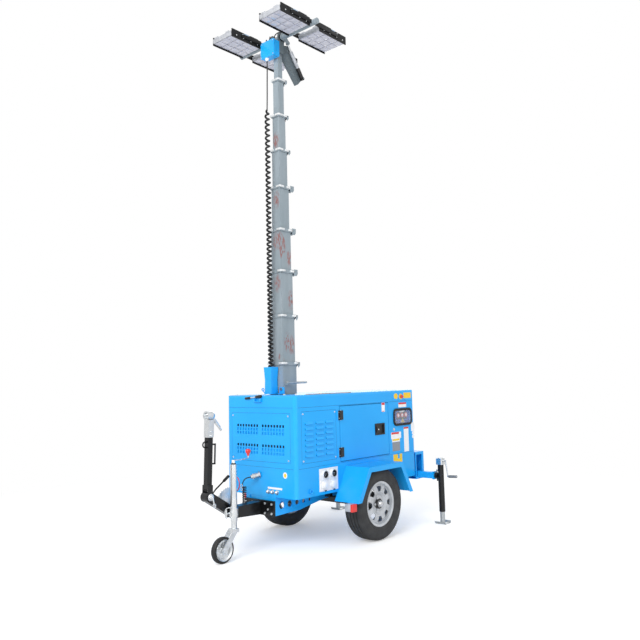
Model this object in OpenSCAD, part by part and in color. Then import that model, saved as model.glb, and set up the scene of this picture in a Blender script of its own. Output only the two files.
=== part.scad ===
// Mobile light tower: a generator canopy on a single-axle trailer, with a square telescopic mast,
// four floodlights on a tilting bar, two stabilisers, a folding drawbar and a jockey wheel.
// X runs forward to the drawbar, Y to the left side and Z up. Sizes are in millimetres.
// Places along X are written from the axle, and from_axle() moves them to the middle of the length.

/* [Canopy] */
// Length of the canopy
canopy_l = 1670; // [1500:10:1900]
// Width of the canopy
canopy_w = 840; // [780:10:880]
// Reach of the canopy's front face ahead of the axle
canopy_front = 837; // [780:1:880]
// Height of the lower box's floor above the ground
box_z = 440; // [420:2:460]
// Height of the lower box
box_h = 235; // [220:5:260]
// Height of the canopy's upright walls
wall_h = 490; // [470:5:600]
// Height of the roof cap
roof_h = 105; // [80:5:140]
// Thickness of the lined sheet walls
wall_t = 20; // [14:1:26]
// Radius of the canopy's upright corners
corner_r = 32; // [26:1:50]
// Radius along the roof's top edges
roof_edge_r = 24; // [12:1:40]

/* [Panels and doors] */
// Length of the side door
door_l = 694; // [600:2:720]
// Height of the side door
door_h = 468; // [430:2:474]
// Place of the door's hinge edge ahead of the axle
door_hinge_x = 287; // [260:1:310]
// Gap round each door
door_gap = 5; // [4:0.5:8]
// Thickness of the door's lined panel
door_t = 18; // [12:1:20]
// Diameter of the hinge barrel
hinge_d = 16; // [12:1:20]
// Height of the hinge leaves
hinge_h = 80; // [60:2:100]
// Thickness of the bolted panels
panel_t = 4; // [3:0.5:6]
// Length of the louvre panel
louvre_l = 425; // [400:5:450]
// Height of the louvre panel
louvre_h = 415; // [390:5:430]
// Length of one louvre
louvre_slot_l = 90; // [70:2:100]
// Height of one louvre's hood
louvre_hood_h = 22; // [16:1:28]
// Stand-off of one louvre's hood
louvre_hood_d = 9; // [6:1:14]
// Width of the front panel
front_panel_w = 714; // [640:2:740]
// Height of the front panel
front_panel_h = 400; // [370:2:420]
// Side of one square hole in the front grille
grille_hole = 21; // [14:1:25]
// Spacing of the holes in the front grille
grille_pitch = 34.8; // [30:0.2:38]
// Length of the control window
window_l = 302; // [260:2:320]
// Height of the control window
window_h = 165; // [140:1:180]
// Width of the socket panel
socket_w = 232; // [200:2:250]
// Height of the socket panel
socket_h = 186; // [160:2:190]

/* [Running gear] */
// Diameter of the tyre
tyre_d = 615; // [580:5:640]
// Width of the tyre
tyre_w = 185; // [165:1:195]
// Radius of the rim's flange
rim_r = 191; // [180:1:200]
// Distance of each wheel's middle plane from the centre line
wheel_y = 537.5; // [530:0.5:560]
// Side of the square axle beam
axle_s = 60; // [50:2:70]
// Radius of the axle's stub shaft
stub_r = 15; // [12:1:18]
// Number of windows in the wheel disc
wheel_windows = 8; // [6:1:10]
// Height of the fender's top above the ground
fender_top = 643; // [630:1:660]
// Reach of each fender's outer face from the centre line
fender_y = 680; // [670:1:700]
// Thickness of the fender's sheet
fender_t = 4; // [3:0.5:6]
// Depth of the fender's outer lip
fender_lip = 42; // [30:1:60]

/* [Chassis] */
// Distance of each chassis rail's outer face from the centre line
rail_y = 177; // [150:1:200]
// Thickness of the rail's web
rail_t = 8; // [6:0.5:12]
// Width of the rail's flanges
rail_flange = 45; // [30:1:60]
// Depth of the chassis rail at its front
rail_front_h = 150; // [120:2:160]
// Depth of the chassis rail behind the taper
rail_rear_h = 92; // [70:2:110]
// Diameter of the largest lightening hole
rail_hole_d = 62; // [40:1:70]

/* [Stabilisers] */
// Distance of the outrigger beam behind the axle
outrigger_x = 900; // [880:5:930]
// Height of the outrigger beam's middle
outrigger_z = 445; // [440:1:450]
// Side of the square outrigger beam
outrigger_s = 60; // [50:1:66]
// Distance of each stabiliser leg from the centre line
leg_y = 660; // [640:5:700]
// Diameter of the leg's outer tube
leg_d = 57; // [50:1:62]
// Diameter of the leg's inner tube
leg_inner_d = 46; // [38:1:48]
// Height of the outer tube's lower end above the ground
leg_tube_z = 110; // [90:5:140]
// Height of the stabiliser's gear head
leg_head_h = 60; // [50:2:70]
// Width of the stabiliser's foot plate
foot_w = 115; // [100:5:140]

/* [Drawbar] */
// Reach of the folding knuckle ahead of the axle
knuckle_x = 1397; // [1360:1:1420]
// Height of the folding knuckle
knuckle_z = 505; // [480:1:530]
// Radius of the folding knuckle's bolt
knuckle_pin_r = 12; // [9:1:14]
// Width of the drawbar beam
beam_w = 80; // [60:2:90]
// Side of the drawbar arm's square tube
arm_s = 46; // [40:1:60]
// Length of the drawbar arm from the knuckle
arm_l = 500; // [460:5:520]
// Bore of the ball coupling's cup
ball_d = 50; // [48:1:52]
// Backward lean of the folded drawbar arm in degrees
arm_lean = 2; // [0:0.5:4]
// Depth of the rear frame behind the canopy
rear_frame_d = 137; // [120:1:150]

/* [Jockey wheel] */
// Place of the jockey tube ahead of the axle
jockey_x = 1195; // [1180:1:1215]
// Place of the jockey tube to the left of the centre line
jockey_y = 75; // [72:1:90]
// Outer diameter of the jockey tube
jockey_d = 54; // [48:1:56]
// Diameter of the jockey's inner tube
jockey_inner_d = 46; // [38:1:46]
// Diameter of the jockey wheel
jockey_wheel_d = 200; // [180:5:220]
// Width of the jockey wheel
jockey_wheel_w = 50; // [40:2:60]
// Trail of the jockey wheel's hub from its tube
jockey_trail = 118; // [105:1:125]

/* [Mast] */
// Place of the mast's axis ahead of the axle
mast_x = 550; // [530:5:570]
// Width of the lowest mast tube
mast_w = 166; // [160:1:170]
// Step in width from one mast tube to the next
mast_step = 14; // [13:0.5:15]
// Wall of the mast tubes
mast_t = 3; // [2:0.25:4]
// Length of each mast tube
mast_tube_l = 1090; // [1000:10:1100]
// Height of the first collar's top above the ground
mast_base_top = 1552; // [1530:2:1600]
// Height of each mast collar
collar_h = 30; // [20:1:36]
// Stand-off of each mast collar from its tube
collar_t = 8; // [6:0.5:10]
// Height of the mast's turning handle
handle_z = 1367; // [1340:1:1400]

/* [Head] */
// Height of the lamp bar's tilt axis
head_z = 4545; // [4530:5:4600]
// Half the length of the lamp bar
bar_y = 505; // [480:5:540]
// Side of the lamp bar's square tube
bar_s = 50; // [40:1:56]
// Length of one floodlight along X
lamp_l = 360; // [320:5:380]
// Width of one floodlight along Y
lamp_w = 270; // [240:5:280]
// Distance of each floodlight's middle from the centre line
lamp_y = 315; // [310:1:330]
// Height of the floodlight's side plates
lamp_plate_h = 76; // [60:2:90]
// Distance of the tilt actuator's lower pin behind the mast axis
actuator_back = 258; // [250:1:264]

/* [Hidden] */

$fn = 48;
touch = 0.3;
canopy_rear = canopy_front - canopy_l;
rear_reach = rear_frame_d - canopy_rear;
loop_z = 400;
loop_r = 22;
loop_wire_r = 5.5;
loop_x = arm_s / 2 + 12;
front_reach = knuckle_x + (loop_x + loop_r + loop_wire_r) * cos(arm_lean) - loop_z * sin(arm_lean);
axle_x = (rear_reach - front_reach) / 2;
wall_z = box_z + box_h;
roof_z = wall_z + wall_h;
roof_top = roof_z + roof_h;
half_w = canopy_w / 2;
wheel_z = tyre_d / 2;
door_z = wall_z + 12;
door_x = door_hinge_x - door_l;
louvre_x = 342;
louvre_z = wall_z + 40;
window_x = -786;
window_z = wall_z + 258;
socket_x = 336;
socket_z = box_z + 26;
front_panel_z = wall_z + 45;
turn_hole_d = (mast_w + 2) * sqrt(2) + 16;
mast_foot_z = box_z + wall_t + 40;

// Top of each mast collar above the ground: one row per tube, from the base upwards
collar_tops = [mast_base_top, 1970, 2370, 2745, 3140, 3486, 3815, 4155, 4480];
function tube_w(i) = mast_w - (i - 1) * mast_step;

module from_axle() translate([axle_x, 0, 0]) children();

module on_side(side) {
    if (side > 0) children();
    else mirror([0, 1, 0]) children();
}

// Outline in X and Z, drawn out from y0 to y1
module along_y(y0, y1) translate([0, y1, 0]) rotate([90, 0, 0]) linear_extrude(y1 - y0) children();

// Outline in Y and Z, drawn out from x0 to x1
module along_x(x0, x1) translate([x0, 0, 0]) rotate([90, 0, 90]) linear_extrude(x1 - x0) children();

// Outline in X and Y, drawn out from z0 to z1
module along_z(z0, z1) translate([0, 0, z0]) linear_extrude(z1 - z0) children();

module block(low, high) translate(low) cube(high - low);

module round_rect(low, high, r) {
    size = high - low;
    translate(low) {
        translate([r, 0]) square([size.x - 2 * r, size.y]);
        translate([0, r]) square([size.x, size.y - 2 * r]);
        for (x = [r, size.x - r], y = [r, size.y - r]) translate([x, y]) circle(r);
    }
}

module rod(p, q, d) {
    v = q - p;
    translate(p) rotate([0, acos(v.z / norm(v)), atan2(v.y, v.x)]) cylinder(d = d, h = norm(v));
}

module square_tube(w, t, z0, z1) along_z(z0, z1) difference() {
    square(w, center = true);
    square(w - 2 * t, center = true);
}

module canopy_plan(inset) round_rect([canopy_rear + inset, -half_w + inset],
                                     [canopy_front - inset, half_w - inset], corner_r - inset * 0.9);

module base_box() color("deepskyblue") from_axle() difference() {
    union() {
        along_z(box_z, wall_z - touch) canopy_plan(0);
        // Lashing eye under the socket panel's front
        for (side = [-1, 1]) on_side(side) translate([677, half_w - 1, box_z + 46])
            rotate([-90, 0, 0]) cylinder(r = 19, h = 17);
    }
    along_z(box_z + wall_t, wall_z + 1) canopy_plan(wall_t);
    for (side = [-1, 1]) on_side(side) translate([677, half_w, box_z + 46]) {
        rotate([-90, 0, 0]) cylinder(r = 11, h = 30);
        translate([-20, -0.5, -5]) cube([40, 9, 30]);
    }
    // Seat of the socket panel
    block([socket_x, half_w - 6, socket_z], [socket_x + socket_w, half_w + 1, socket_z + socket_h]);
}

module panel_seat(low, high, rebate) {
    block([low.x - touch, half_w - panel_t - touch, low.y - touch],
          [high.x + touch, half_w + 1, high.y + touch]);
    block([low.x + rebate, half_w - wall_t - 1, low.y + rebate],
          [high.x - rebate, half_w + 1, high.y - rebate]);
}

module door_hole() block([door_x - door_gap, half_w - wall_t - 1, door_z - door_gap],
                         [door_hinge_x + door_gap, half_w + 1, door_z + door_h + door_gap]);

hinge_zs = [door_z + 36, door_z + door_h - 36 - hinge_h];
hinge_y = half_w + hinge_d / 2 + touch;
// Share of the hinge's height at which the door's middle barrel starts
hinge_split = 0.3;

// Fixed leaf with the upper and lower barrels
module fixed_hinge(z) for (low = [0, 1 - hinge_split]) {
    translate([door_hinge_x, hinge_y, z + low * hinge_h]) cylinder(d = hinge_d, h = hinge_split * hinge_h);
    block([door_hinge_x, half_w - 1, z + low * hinge_h],
          [door_hinge_x + 42, half_w + 5, z + (low + hinge_split) * hinge_h]);
    block([door_hinge_x + hinge_d / 2 + 1, half_w - 1, z], [door_hinge_x + 42, half_w + 5, z + hinge_h]);
}

module canopy() color("deepskyblue") from_axle() {
    canopy_walls();
    for (side = [-1, 1], z = hinge_zs) on_side(side) fixed_hinge(z);
}

module canopy_walls() difference() {
    along_z(wall_z, roof_z - touch) canopy_plan(0);
    along_z(wall_z - 1, roof_z + 1) canopy_plan(wall_t);
    for (side = [-1, 1]) on_side(side) {
        door_hole();
        panel_seat([louvre_x, louvre_z], [louvre_x + louvre_l, louvre_z + louvre_h], 22);
    }
    block([window_x + 12, half_w - wall_t - 1, window_z + 12],
          [window_x + window_l - 12, half_w + 1, window_z + window_h - 12]);
    block([canopy_front - panel_t - touch, -front_panel_w / 2 - touch, front_panel_z - touch],
          [canopy_front + 1, front_panel_w / 2 + touch, front_panel_z + front_panel_h + touch]);
    block([canopy_front - wall_t - 1, -front_panel_w / 2 + 22, front_panel_z + 22],
          [canopy_front + 1, front_panel_w / 2 - 22, front_panel_z + front_panel_h - 22]);
}

module roof_cap() color("deepskyblue") from_axle() difference() {
    intersection() {
        along_z(roof_z, roof_top) canopy_plan(0);
        along_y(-half_w, half_w) round_rect([canopy_rear, roof_z - 2 * roof_edge_r],
                                            [canopy_front, roof_top], roof_edge_r);
        along_x(canopy_rear, canopy_front) round_rect([-half_w, roof_z - 2 * roof_edge_r],
                                                      [half_w, roof_top], roof_edge_r);
    }
    along_z(roof_z - 1, roof_top - wall_t) canopy_plan(wall_t);
    translate([mast_x, 0, roof_z]) cylinder(d = turn_hole_d, h = roof_h + 1);
}

module front_panel() color("deepskyblue") from_axle() along_x(canopy_front - panel_t, canopy_front)
    difference() {
        translate([-front_panel_w / 2, front_panel_z]) square([front_panel_w, front_panel_h]);
        for (side = [-1, 1], z = [front_panel_z + 58, front_panel_z + 222], i = [0:7], k = [0:2])
            translate([side * (24 + i * grille_pitch) + (side < 0 ? -grille_hole : 0),
                       z + k * (grille_hole + 10)])
                square(grille_hole);
    }

// Left edge of each louvre column from the panel's edge
louvre_columns = [42, 164, 293];

module louvre_panel(side) on_side(side) {
    difference() {
        block([louvre_x, half_w - panel_t, louvre_z], [louvre_x + louvre_l, half_w, louvre_z + louvre_h]);
        for (x = louvre_columns, k = [0:6])
            block([louvre_x + x, half_w - panel_t - 1, louvre_z + 46 + k * 43.8],
                  [louvre_x + x + louvre_slot_l, half_w + 1, louvre_z + 46 + k * 43.8 + 12]);
    }
    for (x = louvre_columns, k = [0:6])
        translate([0, half_w, louvre_z + 46 + k * 43.8])
            along_x(louvre_x + x, louvre_x + x + louvre_slot_l)
                polygon([[-0.5, 13], [louvre_hood_d, 0], [louvre_hood_d + 1.5, 2],
                         [2, louvre_hood_h], [-0.5, louvre_hood_h]]);
}

module louvre_panels() color("deepskyblue") from_axle() {
    louvre_panel(1);
    louvre_panel(-1);
}

module control_frame() color("#1b1b1d") from_axle()
    along_y(half_w + touch, half_w + 14) difference() {
        round_rect([window_x, window_z], [window_x + window_l, window_z + window_h], 24);
        round_rect([window_x + 20, window_z + 20], [window_x + window_l - 20, window_z + window_h - 20], 14);
    }

module control_glass() color("#9fc4e0", 0.4) from_axle()
    along_y(half_w + 3, half_w + 7)
        round_rect([window_x + 20.3, window_z + 20.3],
                   [window_x + window_l - 20.3, window_z + window_h - 20.3], 13.7);

module control_panel() color("royalblue") from_axle() {
    block([window_x + 12 + touch, half_w - wall_t, window_z + 12 + touch],
          [window_x + window_l - 12 - touch, half_w - wall_t + 4, window_z + window_h - 12 - touch]);
    for (i = [0:2]) translate([window_x + 80 + i * 62, half_w - wall_t + 3.5, window_z + 98])
        rotate([-90, 0, 0]) cylinder(d = 44, h = 8);
}

module socket_panel() color("whitesmoke") from_axle() {
    block([socket_x + touch, half_w - 6 + touch, socket_z + touch],
          [socket_x + socket_w - touch, half_w + 4, socket_z + socket_h - touch]);
    for (i = [0, 1], k = [0, 1])
        translate([socket_x + socket_w * (0.29 + 0.46 * i), half_w + 3.5, socket_z + socket_h * (0.27 + 0.47 * k)])
            rotate([-90, 0, 0]) difference() {
                cylinder(d = 62, h = k == 1 ? 22 : 14);
                if (k == 1) translate([0, 0, 8]) cylinder(d = 46, h = 20);
            }
}

module engine_block() color("dimgray") from_axle()
    block([-330, -200, box_z + wall_t + touch], [330, 200, 990]);

// Chassis rail's side: foremost end, start and end of the taper, and rearmost end
rail_x = [canopy_front + 3, 560, 250, canopy_rear];
// Lightening holes in each rail: place ahead of the axle and share of the largest diameter
rail_holes = [[765, 1], [672, 0.86], [585, 0.72], [505, 0.58], [430, 0.46]];

module rail_outline(inset) polygon([
    [rail_x[0] - inset, box_z - touch - inset], [rail_x[0] - inset, box_z - rail_front_h + inset],
    [rail_x[1], box_z - rail_front_h + 8 + inset], [rail_x[2], box_z - rail_rear_h + inset],
    [rail_x[3] + inset, box_z - 62 + inset], [rail_x[3] + inset, box_z - touch - inset]]);

module chassis() color("dodgerblue") from_axle() {
    for (side = [-1, 1]) on_side(side) difference() {
        along_y(rail_y - rail_flange, rail_y) rail_outline(0);
        along_y(rail_y - rail_flange - 1, rail_y - rail_t) rail_outline(rail_t);
        for (h = rail_holes) translate([h[0], 0, box_z - 72]) rotate([-90, 0, 0])
            cylinder(d = rail_hole_d * h[1], h = half_w);
    }
    // Crossmembers between the rails
    for (x = [canopy_front - 42, 150, -420, canopy_rear + 30])
        block([x, -rail_y + rail_t / 2, box_z - 52], [x + 38, rail_y - rail_t / 2, box_z - touch]);
}

// Leaves of each spring from the longest: half length and how far below the first it lies
spring_leaves = [[330, 0], [250, 9], [170, 18]];

module axle() color("#3a3d40") from_axle() {
    block([-axle_s / 2, -wheel_y + 80, wheel_z - axle_s / 2], [axle_s / 2, wheel_y - 80, wheel_z + axle_s / 2]);
    for (side = [-1, 1]) on_side(side) {
        translate([0, wheel_y - 92, wheel_z]) rotate([-90, 0, 0]) cylinder(r = 100, h = 50);
        translate([0, wheel_y - 50, wheel_z]) rotate([-90, 0, 0]) cylinder(r = stub_r, h = 105);
        spring_y = 300;
        for (leaf = spring_leaves) along_y(spring_y - 25, spring_y + 25) intersection() {
            translate([0, wheel_z + axle_s / 2 + 26 - leaf[1] + 1500]) difference() {
                circle(1508, $fn = 200);
                circle(1500, $fn = 200);
            }
            translate([-leaf[0], wheel_z]) square([2 * leaf[0], 120]);
        }
        block([-45, spring_y - 32, wheel_z + axle_s / 2 - 2], [45, spring_y + 32, wheel_z + axle_s / 2 + 12]);
        for (x = [-322, 322]) block([x - 16, spring_y - 30, wheel_z + axle_s / 2 + 48],
                                   [x + 16, spring_y + 30, box_z - touch]);
    }
}

module wheel_place(side) from_axle() on_side(side) translate([0, wheel_y, wheel_z]) rotate([-90, 0, 0]) children();

module tyre(side) color("#232323") wheel_place(side) rotate_extrude($fn = 96) {
    h = tyre_w / 2;
    r = tyre_d / 2;
    polygon([[rim_r - 12.5, h - 23], [rim_r + 0.5, h - 23], [rim_r + 1, h - 13], [rim_r + 20, h - 4],
             [rim_r + 50, h], [r - 42, h - 1], [r - 20, h - 8], [r - 7, h - 18], [r - 1.5, h - 36], [r, h - 60],
             [r, 60 - h], [r - 1.5, 36 - h], [r - 7, 18 - h], [r - 20, 8 - h], [r - 42, 1 - h],
             [rim_r + 50, -h], [rim_r + 20, 4 - h], [rim_r + 1, 13 - h], [rim_r + 0.5, 23 - h],
             [rim_r - 12.5, 23 - h]]);
}

module rim(side) color("silver") wheel_place(side) {
    h = tyre_w / 2;
    barrel_r = rim_r - 13;
    difference() {
        rotate_extrude($fn = 96) {
            polygon([[barrel_r, h - 22.7], [rim_r, h - 22.7], [rim_r, h - 16], [rim_r - 5, h - 16],
                     [barrel_r - 6, h - 21], [barrel_r - 6, 21 - h], [rim_r - 5, 16 - h], [rim_r, 16 - h],
                     [rim_r, 22.7 - h], [barrel_r, 22.7 - h]]);
            polygon([[barrel_r - 1, h - 46], [barrel_r - 1, h - 40], [barrel_r - 12, h - 38], [132, h - 24],
                     [96, h - 26], [70, h - 46], [30, h - 46], [30, h - 52], [74, h - 52], [99, h - 32],
                     [132, h - 30], [barrel_r - 14, h - 44], [barrel_r - 6, h - 46]]);
        }
        for (i = [0:wheel_windows - 1]) rotate(i * 360 / wheel_windows) translate([0, 0, -10])
            linear_extrude(tyre_w / 2 + 12) polygon([[104, -15], [104, 15], [148, 34], [152, 0], [148, -34]]);
        for (i = [0:4]) rotate(i * 72) translate([50, 0, h - 60]) cylinder(r = 7, h = 20);
    }
    // Hub that turns on the stub shaft
    difference() {
        translate([0, 0, -38]) cylinder(r = 31, h = h - 46 + 38 + 20);
        translate([0, 0, -39]) cylinder(r = stub_r + 0.25, h = h - 46 + 39 + 12);
    }
    for (i = [0:4]) rotate(i * 72) translate([50, 0, h - 46.5]) cylinder(r = 10, h = 14, $fn = 6);
}

// Fender's outline: front foot, front bend, rear bend and rear foot, inset from the outer skin
fender_foot_z = 368;

module fender_outline(inset) offset(delta = -inset)
    polygon([[383, fender_foot_z], [221, fender_top], [-257, fender_top], [-397, 374], [-397, 300], [383, 300]]);

module fender_band(depth) difference() {
    intersection() {
        difference() {
            fender_outline(0);
            fender_outline(depth);
        }
        translate([-500, fender_foot_z]) square([1000, 400]);
    }
    translate([-330, 330]) square([640, 60]);
}

module fender(side) color("deepskyblue") from_axle() on_side(side) {
    along_y(half_w + touch, fender_y) fender_band(fender_t);
    along_y(fender_y - fender_t, fender_y) fender_band(fender_lip);
    along_y(half_w + touch, half_w + touch + fender_t) intersection() {
        fender_outline(0);
        translate([-500, box_z + 2]) square([1000, 400]);
    }
}

module marker_lamps() color("red") from_axle() for (side = [-1, 1]) on_side(side)
    along_z(306, fender_foot_z - touch) round_rect([370, fender_y - 52], [438, fender_y - 6], 8);

module rear_frame() color("deepskyblue") from_axle() difference() {
    x0 = -rear_reach;
    x1 = canopy_rear - touch;
    low = box_z - 38;
    top = wall_z - 14;
    sheet = 6;
    bulkhead_y = 240;
    union() {
        // Channel across the rear, open at its two ends
        difference() {
            block([x0, -half_w, low], [x1, half_w, top]);
            block([x0 + sheet, -half_w - 1, low + sheet], [x1 + 1, half_w + 1, top - sheet]);
        }
        for (side = [-1, 1]) on_side(side) {
            along_y(half_w - 8, half_w) difference() {
                translate([x0, low]) square([x1 - x0, top - low]);
                round_rect([x0 + 28, low + 22], [x1 - 10, top - 26], 12);
            }
            block([x0 + 1, bulkhead_y, low + 1], [x1, bulkhead_y + sheet, top - 1]);
        }
        // Housing that the two outrigger beams slide in
        translate([-outrigger_x, 0, outrigger_z])
            cube([outrigger_s + 12, 2 * bulkhead_y, outrigger_s + 12], center = true);
    }
    translate([-outrigger_x, 0, outrigger_z])
        cube([outrigger_s + 2 * touch, canopy_w + 2, outrigger_s + 2 * touch], center = true);
}

module outrigger(side) color("deepskyblue") from_axle() on_side(side) translate([-outrigger_x, 0, outrigger_z]) {
    end = leg_y - leg_d / 2 - 46;
    rotate([90, 0, 0]) translate([0, 0, -end]) linear_extrude(end - 8) difference() {
        square(outrigger_s, center = true);
        square(outrigger_s - 10, center = true);
    }
    translate([-outrigger_s / 2 - 7, end - 2, -outrigger_s / 2 - 7])
        cube([outrigger_s + 14, 14, outrigger_s + 14]);
    // Swivel shaft that carries the leg
    translate([0, end, 0]) rotate([-90, 0, 0]) cylinder(r = 16, h = leg_y - leg_d / 2 - end - 12);
}

module leg(side) color("#18181a") from_axle() on_side(side) translate([-outrigger_x, leg_y, 0]) {
    difference() {
        union() {
            translate([0, 0, leg_tube_z]) cylinder(d = leg_d, h = outrigger_z + 105 - leg_tube_z);
            translate([0, -leg_d / 2 - 26, outrigger_z]) rotate([-90, 0, 0]) cylinder(r = 33, h = 30);
            translate([-22, -leg_d / 2 - 4, outrigger_z - 48]) cube([44, 20, 96]);
        }
        translate([0, 0, leg_tube_z - 1]) cylinder(d = leg_inner_d + 1.4, h = outrigger_z + 100 - leg_tube_z);
        translate([0, -leg_d / 2 - 27, outrigger_z]) rotate([-90, 0, 0]) cylinder(r = 16.3, h = 16);
    }
}

module leg_head(side) color("gainsboro") from_axle() on_side(side)
    translate([-outrigger_x, leg_y, outrigger_z + 105 + touch]) {
        translate([-34, -34, 0]) along_z(0, leg_head_h) round_rect([0, 0], [68, 68], 12);
        rod([0, 33, leg_head_h * 0.62], [0, 62, leg_head_h * 0.62], 16);
        rod([0, 58, leg_head_h * 0.62], [0, 80, leg_head_h * 0.62 - 150], 14);
        rod([0, 76, leg_head_h * 0.62 - 146], [0, 180, leg_head_h * 0.62 - 140], 18);
    }

module foot(side) color("gainsboro") from_axle() on_side(side) translate([-outrigger_x, leg_y, 0]) {
    difference() {
        translate([0, 0, 6]) cylinder(d = leg_inner_d, h = outrigger_z - 16);
        translate([0, 0, 20]) cylinder(d = leg_inner_d - 8, h = outrigger_z);
    }
    along_y(-foot_w / 2, foot_w / 2) difference() {
        polygon([[-foot_w / 2 + 14, 0], [foot_w / 2 - 14, 0], [foot_w / 2, 24], [foot_w / 2 - 6, 24],
                 [foot_w / 2 - 18, 7], [-foot_w / 2 + 18, 7], [-foot_w / 2 + 6, 24], [-foot_w / 2, 24]]);
    }
}

module drawbar_beam() color("#1a1a1c") from_axle() {
    beam_top = box_z - 38;
    difference() {
        union() {
            along_y(-beam_w / 2, beam_w / 2) polygon([
                [canopy_front + 20, beam_top], [canopy_front + 20, box_z - rail_front_h + 6],
                [1080, 306], [1178, 312], [1178, 396], [1080, 396]]);
            along_y(-28, 28) polygon([[1130, 322], [1190, 330], [knuckle_x + 14, knuckle_z - 36],
                                      [knuckle_x - 28, knuckle_z + 28], [1150, 396]]);
            translate([knuckle_x, 28, knuckle_z]) rotate([90, 0, 0]) cylinder(r = 40, h = 56);
            // Bolted front flange
            block([canopy_front + 3 + touch, -rail_y, box_z - rail_front_h],
                  [canopy_front + 21, rail_y, box_z - 30]);
        }
        translate([knuckle_x, 60, knuckle_z]) rotate([90, 0, 0]) cylinder(r = knuckle_pin_r + 0.3, h = 120);
    }
}

module drawbar_arm() color("#1a1a1c") from_axle() translate([knuckle_x, 0, knuckle_z]) {
    rotate([0, -arm_lean, 0]) {
        difference() {
            union() {
                for (side = [-1, 1]) on_side(side) along_y(29, 37) {
                    circle(40);
                    translate([-arm_s / 2, 0]) square([arm_s, 92]);
                }
                block([-arm_s / 2, -37, 62], [arm_s / 2, 37, 92]);
            }
            translate([0, 60, 0]) rotate([90, 0, 0]) cylinder(r = knuckle_pin_r + 0.3, h = 120);
        }
        square_tube(arm_s, 4, 90, arm_l);
        // Lifting handle behind the arm and safety loop ahead of it
        translate([-arm_s / 2 + 2, 0, 250]) {
            rod([0, 0, 0], [-48, 0, 0], 13);
            rod([-44, 0, -6], [-44, 0, 156], 13);
            rod([0, 0, 150], [-48, 0, 150], 13);
        }
        translate([loop_x, 0, loop_z]) rotate([90, 0, 0]) rotate_extrude() translate([loop_r, 0]) circle(loop_wire_r);
    }
    // Knuckle bolt with its head and nut
    translate([0, 49, 0]) rotate([90, 0, 0]) cylinder(r = knuckle_pin_r, h = 98);
    translate([0, 51, 0]) rotate([90, 0, 0]) cylinder(r = 20, h = 13.7, $fn = 6);
    translate([0, -37.3, 0]) rotate([90, 0, 0]) cylinder(r = 20, h = 13.7, $fn = 6);
}

module coupling_head() color("silver") from_axle() translate([knuckle_x, 0, knuckle_z]) rotate([0, -arm_lean, 0])
    translate([0, 0, arm_l - 45]) difference() {
        union() {
            along_z(0, 92) difference() {
                square([arm_s + 9, arm_s + 9], center = true);
                square([arm_s + touch * 2, arm_s + touch * 2], center = true);
            }
            translate([-arm_s / 2 - 4.5, -arm_s / 2 - 4.5, 86]) cube([arm_s + 9, arm_s + 9, 50]);
            // Cup that closes over the towing ball
            translate([-12, 0, 168]) rotate([0, 90, 0]) cylinder(r = 36, h = 46);
            translate([-12, 0, 168]) sphere(r = 36);
            rod([-30, 0, 140], [-56, 0, 118], 12);
            rod([-54, 0, 120], [-122, 0, 52], 18);
        }
        translate([22, 0, 168]) sphere(d = ball_d);
        translate([22, 0, 168]) rotate([0, 90, 0]) cylinder(d = ball_d, h = 40);
    }

module drawbar_fittings() color("silver") from_axle() {
    // Jockey clamp on the side of the beam
    difference() {
        union() {
            translate([jockey_x, jockey_y, 336]) cylinder(d = jockey_d + 16, h = 62);
            block([jockey_x - 45, beam_w / 2 + touch, 332], [jockey_x - 17, jockey_y - 10, 400]);
            block([jockey_x - 48, beam_w / 2 + touch, 320], [jockey_x - 16, beam_w / 2 + 8, 394]);
        }
        translate([jockey_x, jockey_y, 330]) cylinder(d = jockey_d + 0.4, h = 80);
    }
    // Handbrake on the beam's right side: toothed quadrant and lever
    pivot = [1150, box_z - 43];
    along_y(-28 - touch - 6, -28 - touch) difference() {
        translate(pivot) intersection() {
            circle(r = 128);
            square(140);
        }
        translate(pivot) circle(r = 96);
        for (a = [8:8:82]) translate(pivot) rotate(a) translate([128, 0]) circle(r = 4);
    }
    rod([1180, -40, pivot.y + 8], [1332, -40, 560], 14);
    rod([1234, -48, pivot.y + 64], [1234, -30, pivot.y + 64], 16);
}

module jockey_tube() color("silver") from_axle() translate([jockey_x, jockey_y, 0]) difference() {
    translate([0, 0, 300]) cylinder(d = jockey_d, h = 438);
    translate([0, 0, 299]) cylinder(d = jockey_inner_d + 1.2, h = 430);
}

module jockey_crank() color("silver") from_axle() translate([jockey_x, jockey_y, 738 + touch]) {
    cylinder(d = 30, h = 34);
    rod([0, 0, 30], [-160, 0, 34], 12);
    rod([-156, 0, 30], [-156, 0, 60], 10);
    translate([-156, 0, 56]) cylinder(d1 = 22, d2 = 42, h = 26);
    translate([-156, 0, 82]) cylinder(d1 = 42, d2 = 26, h = 14);
}

jockey_crown_z = 216;
jockey_crown_h = 28;
swivel_r = 12;

module jockey_stem() color("silver") from_axle() translate([jockey_x, jockey_y, jockey_crown_z + jockey_crown_h + 1])
    difference() {
        cylinder(d = jockey_inner_d, h = 440);
        translate([0, 0, 36]) cylinder(d = jockey_inner_d - 8, h = 440);
        translate([0, 0, -1]) cylinder(r = swivel_r + touch, h = 60);
    }

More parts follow.
